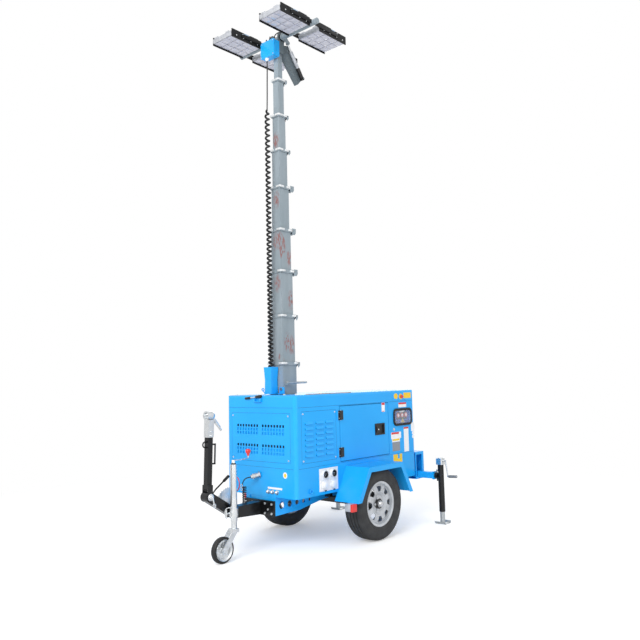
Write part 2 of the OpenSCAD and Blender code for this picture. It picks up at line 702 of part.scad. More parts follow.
module jockey_fork() color("silver") from_axle() translate([jockey_x, jockey_y, 0]) {
    half = jockey_wheel_w / 2 + 4;
    hub_z = jockey_wheel_d / 2;
    crown_top = jockey_crown_z + jockey_crown_h;
    difference() {
        union() {
            for (side = [-1, 1]) on_side(side) along_y(half, half + 5)
                polygon([[-26, crown_top], [30, crown_top], [jockey_trail + 22, hub_z + 10],
                         [jockey_trail + 8, hub_z - 20], [jockey_trail - 20, hub_z - 12]]);
            block([-26, -half - 1, jockey_crown_z], [36, half + 1, crown_top]);
            // Swivel pin in the stem
            translate([0, 0, crown_top - 1]) cylinder(r = swivel_r, h = 34);
        }
        translate([jockey_trail, half + 20, hub_z]) rotate([90, 0, 0]) cylinder(r = 6.2, h = 2 * half + 40);
    }
}

module jockey_wheel() color("#2a2a2a") from_axle()
    translate([jockey_x + jockey_trail, jockey_y, jockey_wheel_d / 2]) rotate([90, 0, 0]) {
        w = jockey_wheel_w;
        r = jockey_wheel_d / 2;
        rotate_extrude() polygon([[5.5, -w / 2], [22, -w / 2], [24, -8], [60, -8], [66, -w / 2 + 4], [r - 14, -w / 2],
                                  [r - 3, -w / 2 + 8], [r, -8], [r, 8], [r - 3, w / 2 - 8], [r - 14, w / 2],
                                  [66, w / 2 - 4], [60, 8], [24, 8], [22, w / 2], [5.5, w / 2]]);
        translate([0, 0, -w / 2 - 12]) cylinder(r = 6, h = w + 24);
    }

module door(side) color("deepskyblue") from_axle() on_side(side) difference() {
    block([door_x, half_w - door_t, door_z], [door_hinge_x, half_w, door_z + door_h]);
    // Recess of the latch
    block([door_x + 62, half_w - 12, door_z + 184], [door_x + 206, half_w + 1, door_z + 288]);
}

module door_fittings(side) color("#18181a") from_axle() on_side(side) {
    for (z = hinge_zs) {
        low = z + hinge_split * hinge_h + touch;
        high = z + (1 - hinge_split) * hinge_h - touch;
        block([door_hinge_x - 40, half_w + touch, z], [door_hinge_x - hinge_d / 2 - 2, half_w + 5, z + hinge_h]);
        block([door_hinge_x - 14, half_w + touch, low], [door_hinge_x, half_w + 5, high]);
        translate([door_hinge_x, hinge_y, low]) cylinder(d = hinge_d, h = high - low);
    }
    difference() {
        block([door_x + 62 + touch, half_w - 12 + touch, door_z + 184 + touch],
              [door_x + 206 - touch, half_w + 5, door_z + 288 - touch]);
        block([door_x + 76, half_w - 7, door_z + 196], [door_x + 150, half_w + 6, door_z + 276]);
    }
    block([door_x + 146, half_w + 2, door_z + 206], [door_x + 196, half_w + 13, door_z + 266]);
}

module mast_collar(w, top) {
    translate([0, 0, top - collar_h]) linear_extrude(collar_h) difference() {
        square(w + 2 * collar_t, center = true);
        square(w - 2 * mast_t, center = true);
    }
    // Slide pads that the next tube runs on
    for (a = [0:90:270]) rotate(a)
        block([w / 2 - mast_step / 2 + touch, -w / 4, top - collar_h + 2], [w / 2 - mast_t + 1, w / 4, top - 2]);
    // Rope lugs and sheave at the rear
    block([-w / 2 - 34, -12, top - 46], [-w / 2 + 1, -6, top - 6]);
    block([-w / 2 - 34, 6, top - 46], [-w / 2 + 1, 12, top - 6]);
    rod([-w / 2 - 22, -14, top - 26], [-w / 2 - 22, 14, top - 26], 12);
}

module mast_base() color("slategray") from_axle() translate([mast_x, 0, 0]) {
    square_tube(mast_w, mast_t, mast_foot_z, mast_base_top - 1);
    mast_collar(mast_w, mast_base_top);
    // Turning bearing under the tube
    difference() {
        translate([0, 0, box_z + wall_t + touch]) cylinder(d = mast_w * 1.38, h = mast_foot_z - box_z - wall_t + 2);
        translate([0, 0, box_z + wall_t - 1]) cylinder(d = 60, h = 60);
    }
    rod([40, mast_w / 2 - 1, handle_z], [40, mast_w / 2 + 235, handle_z + 4], 15);
    block([22, mast_w / 2 - 1, handle_z - 18], [58, mast_w / 2 + 26, handle_z + 2]);
}

module mast_tube(i) color("slategray") from_axle() translate([mast_x, 0, 0]) {
    w = tube_w(i);
    square_tube(w, mast_t, collar_tops[i - 1] - mast_tube_l, collar_tops[i - 1] - 1);
    if (i < 9) mast_collar(w, collar_tops[i - 1]);
}

chute_c = [mast_x + 131.5, -16.5];

module chute_shell(inset) {
    hull() {
        translate([chute_c.x, chute_c.y, 1396]) cube([74 - inset, 78 - inset, 0.1], center = true);
        translate([chute_c.x, chute_c.y, 1508 + inset / 6]) cube([84 - inset, 95 - inset, 0.1], center = true);
    }
    hull() {
        translate([chute_c.x, chute_c.y, roof_top + 6 - inset / 6]) cube([78 - inset, 84 - inset, 0.1], center = true);
        translate([chute_c.x, chute_c.y, 1396.1]) cube([74 - inset, 78 - inset, 0.1], center = true);
    }
}

module cable_chute() color("deepskyblue") from_axle() {
    difference() {
        chute_shell(0);
        chute_shell(6);
    }
    translate([chute_c.x - 38, chute_c.y - 41, roof_top + 6.2]) cube([76, 82, 4]);
    // Straps that hold the chute on the mast's front
    for (z = [1290, 1470]) block([mast_x + mast_w / 2 + touch, -30, z], [chute_c.x - 35, 0, z + 24]);
}

coil_d = 52;
coil_low = roof_top + 6.2 + 4 + touch;
coil_top = 3830;
lead_d = 11;
gland = [mast_x + 85, -55, 4330];

// Points of the straight lead from the gland down to the coil's top
lead_route = [[635, -55, 4330], [635, -55, 4280], [639, -52, 4200], [650, -43, 4100], [663, -31, 4000], [675, -21, 3900],
              [681.5, -16.5, 3830 + touch]];

// Rings of 8 points round a route, for a tube of diameter d
function ring(c, d) = [for (k = [0:7]) c + [cos(k * 45), sin(k * 45), 0] * d / 2];
function tube_points(route, d) = [for (c = route) each ring(c, d)];
function tube_faces(n) = concat(
    [[for (k = [0:7]) k]],
    [for (j = [0:n - 2], k = [0:7]) [j * 8 + k, j * 8 + 8 + k, j * 8 + 8 + (k + 1) % 8, j * 8 + (k + 1) % 8]],
    [[for (k = [7:-1:0]) (n - 1) * 8 + k]]);

module cable_lead() color("#151515") from_axle()
    polyhedron(tube_points(lead_route, lead_d), tube_faces(len(lead_route)));

module cable_coil() color("#151515") from_axle()
    translate([chute_c.x, chute_c.y, coil_low]) cylinder(d = coil_d, h = coil_top - coil_low);

module junction_box() color("deepskyblue") from_axle() {
    along_x(mast_x + tube_w(9) / 2 + sleeve_t + touch, mast_x + 105) round_rect([-116, 4352], [56, 4504], 10);
    translate(gland + [0, 0, touch]) cylinder(d = 24, h = 24);
}

sleeve_t = 6;
actuator_pin = [mast_x - actuator_back, 62, head_z - 318];
rod_eye = [mast_x - 66, 62, head_z - 36];
actuator_u = (rod_eye - actuator_pin) / norm(rod_eye - actuator_pin);
tube_9_top = collar_tops[8];

module mast_head() color("slategray") from_axle() translate([mast_x, 0, 0]) {
    w = tube_w(9);
    cheek_r = 50;
    difference() {
        union() {
            // Sleeve on the topmost tube and the two cheeks that carry the tilt axis
            translate([0, 0, head_z - 96]) cube([w + 2 * sleeve_t, w + 2 * sleeve_t, 108], center = true);
            for (side = [-1, 1]) on_side(side) along_y(46, 52) {
                translate([0, head_z]) circle(cheek_r);
                translate([-33, head_z - 150]) square([63, 150]);
            }
            block([-33, -50, head_z - 150], [30, 50, head_z - 120]);
            // Arm that carries the actuator's lower pin
            along_y(-5, 43) polygon([[-26, head_z - 60], [-26, head_z - 150], [-219, head_z - 379],
                                     [-290, head_z - 297], [-107, head_z - 42]]);
        }
        translate([0, 0, head_z - 200]) cube([w + 2 * touch, w + 2 * touch, 2 * (tube_9_top + touch - head_z + 200)],
                                             center = true);
        translate([0, 60, head_z]) rotate([90, 0, 0]) cylinder(d = bar_s + 2, h = 120);
    }
    rod([-actuator_back, 42, head_z - 318], [-actuator_back, 86, head_z - 318], 12);
}

module actuator_body() color("#2c2f33") from_axle() difference() {
    union() {
        rod(actuator_pin + actuator_u * 8, actuator_pin + actuator_u * 100, 36);
        rod(actuator_pin + actuator_u * 90, actuator_pin + actuator_u * 262, 30);
        rod(actuator_pin + [0, -14, 0], actuator_pin + [0, 16, 0], 30);
    }
    rod(actuator_pin + actuator_u * 110, actuator_pin + actuator_u * 264, 19);
    rod(actuator_pin + [0, -20, 0], actuator_pin + [0, 20, 0], 13);
}

module actuator_rod() color("gainsboro") from_axle() {
    rod(actuator_pin + actuator_u * 125, rod_eye - actuator_u * 8, 18);
    rod(rod_eye + [0, -9, 0], rod_eye + [0, 9, 0], 28);
}

lamp_xs = [mast_x + 218, mast_x - 272];

module lamp_bar() color("slategray") from_axle() {
    along_y(-bar_y, bar_y) translate([mast_x, head_z]) circle(d = bar_s);
    // Strips along X that carry the floodlights by their sides
    for (side = [-1, 1], y = [lamp_y - lamp_w / 2 - touch - 6, lamp_y + lamp_w / 2 + touch]) on_side(side)
        along_y(y, y + 6) round_rect([lamp_xs[1] - 60, head_z - 14], [lamp_xs[0] + 60, head_z + 18], 8);
    // Lever that the actuator's rod pushes
    along_y(rod_eye.y + 11, rod_eye.y + 19) {
        translate([rod_eye.x, rod_eye.z]) circle(15);
        translate([mast_x, head_z]) circle(33);
        polygon([[rod_eye.x - 6, rod_eye.z + 14], [rod_eye.x + 8, rod_eye.z - 13],
                 [mast_x + 14, head_z - 30], [mast_x - 12, head_z + 31]]);
    }
}

module lamp_housing() {
    for (side = [-1, 1]) on_side(side) along_y(lamp_w / 2 - 8, lamp_w / 2) difference() {
        translate([-lamp_l / 2, -38]) square([lamp_l, lamp_plate_h]);
        translate([-30, 20]) square([60, 30]);
    }
    block([-lamp_l / 2, -lamp_w / 2 + 4, -14], [lamp_l / 2, lamp_w / 2 - 4, 0]);
    for (i = [-8:8]) block([i * 20 - 2, -lamp_w / 2 + 4, -1], [i * 20 + 2, lamp_w / 2 - 4, 22]);
}

module lamps() for (x = lamp_xs, y = [-lamp_y, lamp_y]) translate([x, y, head_z - 6]) children();

module lamp_housings() color("#141414") from_axle() lamps() lamp_housing();

module lamp_lenses() color("#cfd2dc") from_axle() lamps()
    block([-lamp_l / 2 + 2, -lamp_w / 2 + 9, -28], [lamp_l / 2 - 2, lamp_w / 2 - 9, -14 - touch]);

chassis();
axle();
base_box();
canopy();
roof_cap();
front_panel();
louvre_panels();
control_frame();
control_panel();
control_glass();
socket_panel();
engine_block();
fender(1);  // fender_left
fender(-1);  // fender_right
marker_lamps();
rear_frame();
drawbar_beam();
drawbar_fittings();
drawbar_arm();
coupling_head();
jockey_tube();
jockey_stem();
jockey_fork();
jockey_wheel();
jockey_crank();
door(1);  // door_left
door(-1);  // door_right
door_fittings(1);  // door_fittings_left
door_fittings(-1);  // door_fittings_right
tyre(1);  // tyre_left
tyre(-1);  // tyre_right
rim(1);  // rim_left
rim(-1);  // rim_right
outrigger(1);  // outrigger_left
outrigger(-1);  // outrigger_right
leg(1);  // leg_left
leg(-1);  // leg_right
leg_head(1);  // leg_head_left
leg_head(-1);  // leg_head_right
foot(1);  // foot_left
foot(-1);  // foot_right
mast_base();
cable_chute();
cable_coil();
cable_lead();
junction_box();
mast_head();
actuator_body();
actuator_rod();
lamp_bar();
lamp_housings();
lamp_lenses();
for (i = [2:9]) mast_tube(i);
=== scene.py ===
# %% [markdown]
# # A mobile light tower
# This lesson dresses a towed light tower whose metal pieces come from a CAD model. Blender adds the finishes and the
# small things that a CAD model leaves out: the curly cable, the tyre's tread, screws, seals, gauges and labels.
# Places are written in millimetres from the middle of the axle on the ground, as on the maker's drawing:
# X forward to the drawbar, Y to the left side and Z up.

# %% Load the frame
import math

import bpy
from mathutils import Matrix, Vector


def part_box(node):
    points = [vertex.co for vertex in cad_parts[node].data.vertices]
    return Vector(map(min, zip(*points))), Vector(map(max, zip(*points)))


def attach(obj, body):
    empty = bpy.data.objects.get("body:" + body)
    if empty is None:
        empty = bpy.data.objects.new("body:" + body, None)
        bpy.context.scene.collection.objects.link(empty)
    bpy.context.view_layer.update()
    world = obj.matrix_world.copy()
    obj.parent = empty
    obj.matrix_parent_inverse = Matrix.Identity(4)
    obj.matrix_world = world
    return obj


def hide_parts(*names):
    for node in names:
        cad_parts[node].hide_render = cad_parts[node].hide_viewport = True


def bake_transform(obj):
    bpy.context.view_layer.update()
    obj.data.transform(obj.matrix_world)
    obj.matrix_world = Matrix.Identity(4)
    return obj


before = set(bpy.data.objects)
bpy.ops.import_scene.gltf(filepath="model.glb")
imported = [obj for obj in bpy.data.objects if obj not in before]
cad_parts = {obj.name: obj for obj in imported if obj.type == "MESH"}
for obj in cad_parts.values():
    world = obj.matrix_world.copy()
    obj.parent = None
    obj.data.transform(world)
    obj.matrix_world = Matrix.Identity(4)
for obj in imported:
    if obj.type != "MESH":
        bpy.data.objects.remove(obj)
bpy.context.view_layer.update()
tyre_low, tyre_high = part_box("tyre_left")
AXLE_X = (tyre_low.x + tyre_high.x) / 2

# %% [markdown]
# ## Camera
# The photograph is taken from ahead of the tower's left side, low down, so the upright lines lean a little. The camera
# stands where the photographer stood: its place, direction, roll and focal length were worked out from the canopy's
# corners and the wheel. The shift only puts the frame's middle where the photograph has it.

# %% Camera
IMAGE_PX = 640
FOCAL_PX = 691.82
MIDDLE_PX = (331.45, 303.41)
EYE_MM = (4874.2, 4374.1, 1384.4)
AZIMUTH = math.radians(41.2147)
ELEVATION = math.radians(6.3068)
ROLL = math.radians(-1.4324)
SENSOR_MM = 36


def at(x, y, z):
    """A place in millimetres from the axle, in the frame's metres."""
    return Vector((x / 1000 + AXLE_X, y / 1000, z / 1000))


def photo_camera():
    """The camera at the photographer's place."""
    look = Vector((-math.cos(AZIMUTH) * math.cos(ELEVATION), -math.sin(AZIMUTH) * math.cos(ELEVATION),
                   math.sin(ELEVATION)))
    right = look.cross(Vector((0, 0, 1))).normalized()
    up = right.cross(look)
    c, s = math.cos(ROLL), math.sin(ROLL)
    right, up = c * right + s * up, c * up - s * right
    data = bpy.data.cameras.new("camera")
    data.sensor_width = SENSOR_MM
    data.lens = FOCAL_PX * SENSOR_MM / IMAGE_PX
    data.shift_x = 0.5 - MIDDLE_PX[0] / IMAGE_PX
    data.shift_y = MIDDLE_PX[1] / IMAGE_PX - 0.5
    data.clip_end = 100
    camera = bpy.data.objects.new("camera", data)
    bpy.context.scene.collection.objects.link(camera)
    camera.matrix_world = Matrix.Translation(at(*EYE_MM)) @ Matrix((right, up, -look)).transposed().to_4x4()
    bpy.context.scene.camera = camera
    print("camera lens", round(data.lens, 2), "mm")


photo_camera()

# %% [markdown]
# ## Helpers
# Each piece is modelled as by hand: a primitive at its size and place, then edits and modifiers that are applied. The
# helpers below only keep the calls short. A finished piece has its object at the origin, and rides on a body.

# %% Helpers for modelling
def only(*objects):
    """Select these objects alone, the last one active."""
    bpy.ops.object.select_all(action="DESELECT")
    for obj in objects:
        obj.select_set(True)
    bpy.context.view_layer.objects.active = objects[-1]


def settle(obj):
    """Put an object's place, turn and size into its mesh."""
    only(obj)
    bpy.ops.object.transform_apply(location=True, rotation=True, scale=True)
    return obj


def apply(obj, kind, **settings):
    """Add a modifier with its settings and apply it."""
    only(obj)
    modifier = obj.modifiers.new(kind.title(), kind)
    for name, value in settings.items():
        setattr(modifier, name, value)
    bpy.ops.object.modifier_apply(modifier=modifier.name)
    return obj


def soften(obj, width, segments=2, angle=35):
    """Round the edges that are sharper than an angle, by a width in millimetres."""
    return apply(obj, "BEVEL", width=width / 1000, segments=segments, limit_method="ANGLE",
                 angle_limit=math.radians(angle), harden_normals=False)


def block(low, high, edge=1.0, segments=2):
    """A block between two corners in millimetres, with softened edges."""
    a, b = at(*low), at(*high)
    bpy.ops.object.select_all(action="DESELECT")
    bpy.ops.mesh.primitive_cube_add(size=1, location=(a + b) / 2, scale=b - a)
    obj = settle(bpy.context.object)
    return soften(obj, edge, segments) if edge else obj


def rod(p, q, d, sides=24, edge=0.6, d2=None):
    """A round bar between two points in millimetres, with its end edges softened; d2 tapers it."""
    a, b = at(*p), at(*q)
    along = b - a
    bpy.ops.object.select_all(action="DESELECT")
    bpy.ops.mesh.primitive_cone_add(vertices=sides, radius1=d / 2000, radius2=(d if d2 is None else d2) / 2000,
                                    depth=along.length, location=(a + b) / 2,
                                    rotation=along.to_track_quat("Z", "Y").to_euler())
    obj = settle(bpy.context.object)
    return soften(obj, edge, 2, 50) if edge else obj


def ball(centre, d, sides=16):
    """A ball at a place in millimetres."""
    bpy.ops.object.select_all(action="DESELECT")
    bpy.ops.mesh.primitive_uv_sphere_add(segments=sides, ring_count=sides // 2, radius=d / 2000, location=at(*centre))
    return settle(bpy.context.object)


def ring(centre, axis, d, wire, sides=32, wire_sides=8):
    """A ring of wire round an axis."""
    bpy.ops.object.select_all(action="DESELECT")
    turn = Vector(axis).to_track_quat("Z", "Y").to_euler()
    bpy.ops.mesh.primitive_torus_add(major_segments=sides, minor_segments=wire_sides, major_radius=d / 2000,
                                     minor_radius=wire / 2000, location=at(*centre), rotation=turn)
    return settle(bpy.context.object)


def hose(points, d, sides=10, smooth=True):
    """A round tube along points in millimetres, as a mesh with closed ends."""
    curve = bpy.data.curves.new("hose", "CURVE")
    curve.dimensions = "3D"
    curve.bevel_depth = d / 2000
    curve.bevel_resolution = max(0, sides // 4 - 1)
    curve.use_fill_caps = True
    curve.resolution_u = 6
    spline = curve.splines.new("BEZIER" if smooth else "POLY")
    if smooth:
        spline.bezier_points.add(len(points) - 1)
        for knot, p in zip(spline.bezier_points, points):
            knot.co = at(*p)
            knot.handle_left_type = knot.handle_right_type = "AUTO"
    else:
        spline.points.add(len(points) - 1)
        for knot, p in zip(spline.points, points):
            knot.co = (*at(*p), 1)
    obj = bpy.data.objects.new("hose", curve)
    bpy.context.scene.collection.objects.link(obj)
    only(obj)
    bpy.ops.object.convert(target="MESH")
    return bpy.context.object


def plate(outline, axis, low, high, edge=0.6):
    """A sheet piece: an outline of two coordinates in millimetres, raised along axis "x", "y" or "z" from low to high."""
    order = {"x": lambda u, v, w: (w, u, v), "y": lambda u, v, w: (u, w, v), "z": lambda u, v, w: (u, v, w)}[axis]
    mesh = bpy.data.meshes.new("plate")
    mesh.from_pydata([at(*order(u, v, low)) for u, v in outline], [], [range(len(outline))])
    obj = bpy.data.objects.new("plate", mesh)
    bpy.context.scene.collection.objects.link(obj)
    only(obj)
    bpy.ops.object.mode_set(mode="EDIT")
    bpy.ops.mesh.select_all(action="SELECT")
    move = at(*order(0, 0, high)) - at(*order(0, 0, low))
    bpy.ops.mesh.extrude_region_move(TRANSFORM_OT_translate={"value": move})
    bpy.ops.mesh.select_all(action="SELECT")
    bpy.ops.mesh.normals_make_consistent(inside=False)
    bpy.ops.object.mode_set(mode="OBJECT")
    return soften(obj, edge, 2, 50) if edge else obj


def rounded(low, high, r, steps=5):
    """An outline with round corners, between two corners in millimetres."""
    corners = [(high[0] - r, high[1] - r, 0), (low[0] + r, high[1] - r, 90), (low[0] + r, low[1] + r, 180),
               (high[0] - r, low[1] + r, 270)]
    return [(x + r * math.cos(math.radians(a + 90 * k / steps)), y + r * math.sin(math.radians(a + 90 * k / steps)))
            for x, y, a in corners for k in range(steps + 1)]


def arc(centre, r, start, end, steps=16):
    """Points of an arc between two angles in degrees."""
    angles = [math.radians(start + (end - start) * k / steps) for k in range(steps + 1)]
    return [(centre[0] + r * math.cos(a), centre[1] + r * math.sin(a)) for a in angles]


def join(objects):
    """One object from several."""
    objects = list(objects)
    only(*objects)
    if len(objects) > 1:
        bpy.ops.object.join()
    return bpy.context.object


def copies(pattern, matrices):
    """Copies of a piece, each with its own mesh, put through matrices and joined; the pattern goes."""
    made = []
    for matrix in matrices:
        twin = bpy.data.objects.new(pattern.name, pattern.data.copy())
        twin.data.transform(matrix)
        bpy.context.scene.collection.objects.link(twin)
        made.append(twin)
    bpy.data.objects.remove(pattern)
    return join(made)


def mirrored(obj):
    """A twin of a piece on the other side of the centre line."""
    twin = bpy.data.objects.new(obj.name, obj.data.copy())
    twin.data.transform(Matrix.Scale(-1, 4, (0, 1, 0)))
    twin.data.flip_normals()
    bpy.context.scene.collection.objects.link(twin)
    return twin


def shift(x, y, z):
    """A move in millimetres, as a matrix."""
    return Matrix.Translation((x / 1000, y / 1000, z / 1000))


def finish(obj, name, material, body, angle=40):
    """Name a piece, give it its material, shade it and let it ride on its body."""
    obj.name = name
    obj.data.name = name
    obj.data.materials.clear()
    obj.data.materials.append(material)
    only(obj)
    bpy.ops.object.shade_smooth_by_angle(angle=math.radians(angle))
    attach(obj, body)
    print(name, len(obj.data.polygons), "faces on", body)
    return obj

# %% [markdown]
# ## Finishes
# Each finish is named for what the real one is and starts from its usual values: painted sheet is a dielectric with a
# clear, slightly wavy skin, zinc is a metal, rubber is dull. Patterns read Object coordinates, so a scale of one over
# a size in metres gives features of that size. A pattern too fine to show at this distance is drawn coarser.

# %% Helpers for materials
def srgb(code):
    """A colour written as sRGB hex, made linear."""
    parts = [int(code[i:i + 2], 16) / 255 for i in (1, 3, 5)]
    return (*[p / 12.92 if p <= 0.04045 else ((p + 0.055) / 1.055) ** 2.4 for p in parts], 1)


def add(tree, kind, inputs=None, **settings):
    """Add a shader node with its settings; each input is set, or linked if its value is a socket."""
    node = tree.nodes.new("ShaderNode" + kind)
    for name, value in settings.items():
        setattr(node, name, value)
    for name, value in (inputs or {}).items():
        if isinstance(value, bpy.types.NodeSocket):
            tree.links.new(value, node.inputs[name])
        else:
            node.inputs[name].default_value = value
    return node


def begin(name, colour, roughness, **values):
    """A new material: its tree, its shader and its Object coordinates."""
    material = bpy.data.materials.new(name)
    material.use_nodes = True
    tree = material.node_tree
    shader = tree.nodes["Principled BSDF"]
    shader.inputs["Base Color"].default_value = srgb(colour)
    shader.inputs["Roughness"].default_value = roughness
    for key, value in values.items():
        shader.inputs[key.replace("_", " ")].default_value = value
    return material, tree, shader, add(tree, "TexCoord").outputs["Object"]


def noise(tree, place, size_mm, detail=3, stretch=(1, 1, 1), low=0.35, high=0.65):
    """Noise with features of a size in millimetres, spread over 0 to 1."""
    scaled = add(tree, "Mapping", {"Vector": place, "Scale": stretch})
    found = add(tree, "TexNoise", {"Vector": scaled.outputs[0], "Scale": 1000 / size_mm, "Detail": detail})
    return add(tree, "MapRange", {"Value": found.outputs[0], "From Min": low, "From Max": high}).outputs[0]


def blend(tree, share, first, second):
    """A mix of two colours or colour sockets by a share."""
    return add(tree, "Mix", {0: share, 6: first, 7: second}, data_type="RGBA").outputs[2]


def bump(tree, shader, height, distance_mm, strength=0.3):
    """Raise the surface by a height from 0 to 1."""
    made = add(tree, "Bump", {"Height": height, "Distance": distance_mm / 1000, "Strength": strength})
    tree.links.new(made.outputs[0], shader.inputs["Normal"])


# %% [markdown]
# ### Paints
# The canopy is powder coated: the colour melts into an even, glossy skin with a fine orange-peel wave, and a bright
# line of light runs down each folded corner. The mast is brushed with a dull grey-blue enamel that the sliding tubes
# have rubbed, so a red-brown primer shows in upright patches. The drawbar and legs are a satin black.

# %% Paints
def powder_coat(name, colour, shade, roughness, coat):
    """Powder coat: nearly even colour, a clear gloss and an orange peel drawn at 4 mm."""
    material, tree, shader, place = begin(name, colour, roughness, Coat_Weight=coat, Coat_Roughness=0.12,
                                          Specular_IOR_Level=0.3)
    drift = noise(tree, place, 420, 2)
    tree.links.new(blend(tree, drift, srgb(colour), srgb(shade)), shader.inputs["Base Color"])
    bump(tree, shader, noise(tree, place, 4, 2), 0.05, 0.25)
    return material


def mast_enamel():
    """Brushed grey-blue enamel with rubbed lines and red-brown primer in upright patches."""
    material, tree, shader, place = begin("mast_enamel", "#8E9AA3", 0.48, Coat_Weight=0.15, Coat_Roughness=0.3)
    rubbed = noise(tree, place, 60, 4, (1, 1, 0.12), 0.35, 0.75)
    paint = blend(tree, rubbed, srgb("#87949C"), srgb("#95A1A9"))
    patch = noise(tree, place, 150, 2, (1, 1, 0.5), 0.66, 0.7)
    for spot in RUBBED_SPOTS:
        near = add(tree, "VectorMath", {0: place, 1: tuple(at(*spot))}, operation="SUBTRACT").outputs[0]
        flat = add(tree, "VectorMath", {0: near, 1: (1, 1, 0.5)}, operation="MULTIPLY").outputs[0]
        away = add(tree, "VectorMath", {0: flat}, operation="LENGTH").outputs["Value"]
        ring_mask = add(tree, "MapRange", {"Value": away, "From Min": 0.05, "From Max": 0.02}).outputs[0]
        patch = add(tree, "Math", {0: patch, 1: ring_mask}, operation="MAXIMUM").outputs[0]
    speck = noise(tree, place, 14, 4, (1, 1, 0.4), 0.42, 0.58)
    stain = add(tree, "Math", {0: patch, 1: speck}, operation="MULTIPLY").outputs[0]
    soft = add(tree, "Math", {0: stain, 1: 0.8}, operation="MULTIPLY").outputs[0]
    tree.links.new(blend(tree, soft, paint, srgb("#8C4A42")), shader.inputs["Base Color"])
    bump(tree, shader, noise(tree, place, 6, 3), 0.08, 0.3)
    return material


RUBBED_SPOTS = [(629, 17, 2250), (625, 17, 2640), (617, 10, 3010), (567, 76, 1725), (513, 76, 1700), (504, 69, 2100),
                (591, -5, 3567), (508, 62, 2480)]
BLUE = powder_coat("blue_powder_coat", "#1EABF8", "#1AA6F3", 0.3, 0.22)
BLACK = powder_coat("black_powder_coat", "#0C0D0F", "#121315", 0.3, 0.25)
MAST = mast_enamel()
# The head's enamel is darker than the mast's: partly its own darker grey, partly painted shade where the head sits in
# shadow.
HEAD_PAINT_AND_SHADE = powder_coat("head_enamel_and_painted_shade", "#6A757B", "#5F6A70", 0.42, 0.15)
print("paints", BLUE.name, BLACK.name, MAST.name)

# %% [markdown]
# ### Metals
# Bright zinc is rolled or dipped on: the skin is a metal with a cloudy, faintly grained gloss. The wheels wear a
# silver lacquer, which is less mirror-like than metal. Black anodised aluminium keeps a metal's sheen under a dark dye.

# %% Metals
def plated(name, colour, roughness, cloud_mm, brushed=(1, 1, 1), metallic=1.0):
    """A metal skin with clouds in its colour and gloss."""
    material, tree, shader, place = begin(name, colour, roughness, Metallic=metallic)
    cloud = noise(tree, place, cloud_mm, 4, brushed)
    dark = tuple(0.82 * c for c in srgb(colour)[:3]) + (1,)
    tree.links.new(blend(tree, cloud, dark, srgb(colour)), shader.inputs["Base Color"])
    rough = add(tree, "MapRange", {"Value": cloud, "To Min": roughness + 0.1, "To Max": roughness - 0.06}).outputs[0]
    tree.links.new(rough, shader.inputs["Roughness"])
    bump(tree, shader, noise(tree, place, 5, 3, brushed), 0.02, 0.25)
    return material


ZINC = plated("bright_zinc", "#E2E5E7", 0.3, 60)
STEEL = plated("turned_steel", "#DADBDD", 0.22, 12, (1, 1, 0.2))
LACQUER = plated("silver_lacquer", "#C9CDD2", 0.38, 80, metallic=0.3)
ANODISED = plated("black_anodised_aluminium", "#1B1C1E", 0.38, 30, metallic=0.6)
GALVANISED = plated("galvanised_steel", "#C3C7C9", 0.42, 9)
print("metals", ZINC.name, LACQUER.name, ANODISED.name)

# %% [markdown]
# ### Rubbers and plastics
# Tyre rubber is a dusty dark grey with a fine grain. The curly cable has a glossy polyurethane sheath. Sockets, lenses
# and the window are moulded plastics; labels are vinyl film, printed in plain colours and left blank here.

# %% Rubbers and plastics
def moulded(name, colour, roughness, grain_mm, depth_mm=0.04, dust=None, **values):
    """A moulded surface with a fine grain, and dust in its hollows where a colour is given."""
    material, tree, shader, place = begin(name, colour, roughness, **values)
    grain = noise(tree, place, grain_mm, 4)
    if dust:
        film = noise(tree, place, 70, 4, low=0.4, high=0.75)
        tree.links.new(blend(tree, film, srgb(colour), srgb(dust)), shader.inputs["Base Color"])
    bump(tree, shader, grain, depth_mm, 0.35)
    return material


TYRE = moulded("tyre_rubber", "#2B2C2E", 0.72, 3, 0.15, "#3B3C3D")
RUBBER = moulded("black_rubber", "#161617", 0.6, 2, 0.05, "#222223")
SHEATH = moulded("polyurethane_sheath", "#0E0E10", 0.32, 5, 0.03, "#161618")
ABS = moulded("black_abs", "#141416", 0.38, 1.5, 0.05, "#1B1B1D")
SOCKET_WHITE = moulded("white_polycarbonate", "#EEF0F3", 0.32, 3, 0.02, "#E2E5EA")
RED_PLASTIC = moulded("red_plastic", "#E23B37", 0.3, 3, 0.02, "#D2322F")
LENS = moulded("lens_polycarbonate", "#CDCEDA", 0.2, 14, 0.1, "#BFC1D0", Coat_Weight=0.5)
GREY_PLASTIC = moulded("grey_plastic", "#7D8288", 0.45, 3, 0.03, "#6D7277")
PANEL_BLUE = moulded("control_panel_paint", "#1F4FC4", 0.4, 3, 0.02, "#1B45AE")


def window_sheet():
    """Clear polycarbonate, seen mostly as a faint gloss over what is behind it."""
    material, tree, shader, place = begin("clear_polycarbonate", "#DCEBF5", 0.08, Alpha=0.16)
    bump(tree, shader, noise(tree, place, 60, 2), 0.05, 0.2)
    return material


def vinyl(name, colour):
    """Printed vinyl film, a little uneven in tone."""
    return moulded(name, colour, 0.35, 8, 0.02, None, Coat_Weight=0.2)


CLEAR = window_sheet()
WHITE_VINYL = vinyl("white_vinyl", "#F1F2F4")
RED_VINYL = vinyl("red_vinyl", "#D93A34")
YELLOW_VINYL = vinyl("yellow_vinyl", "#F3C91C")
GREY_VINYL = vinyl("grey_vinyl", "#8B8F96")
print("plastics", TYRE.name, LENS.name, CLEAR.name)

# %% [markdown]
# ## The CAD pieces
# A CAD piece whose shape is right stays as it is and only gets its finish.

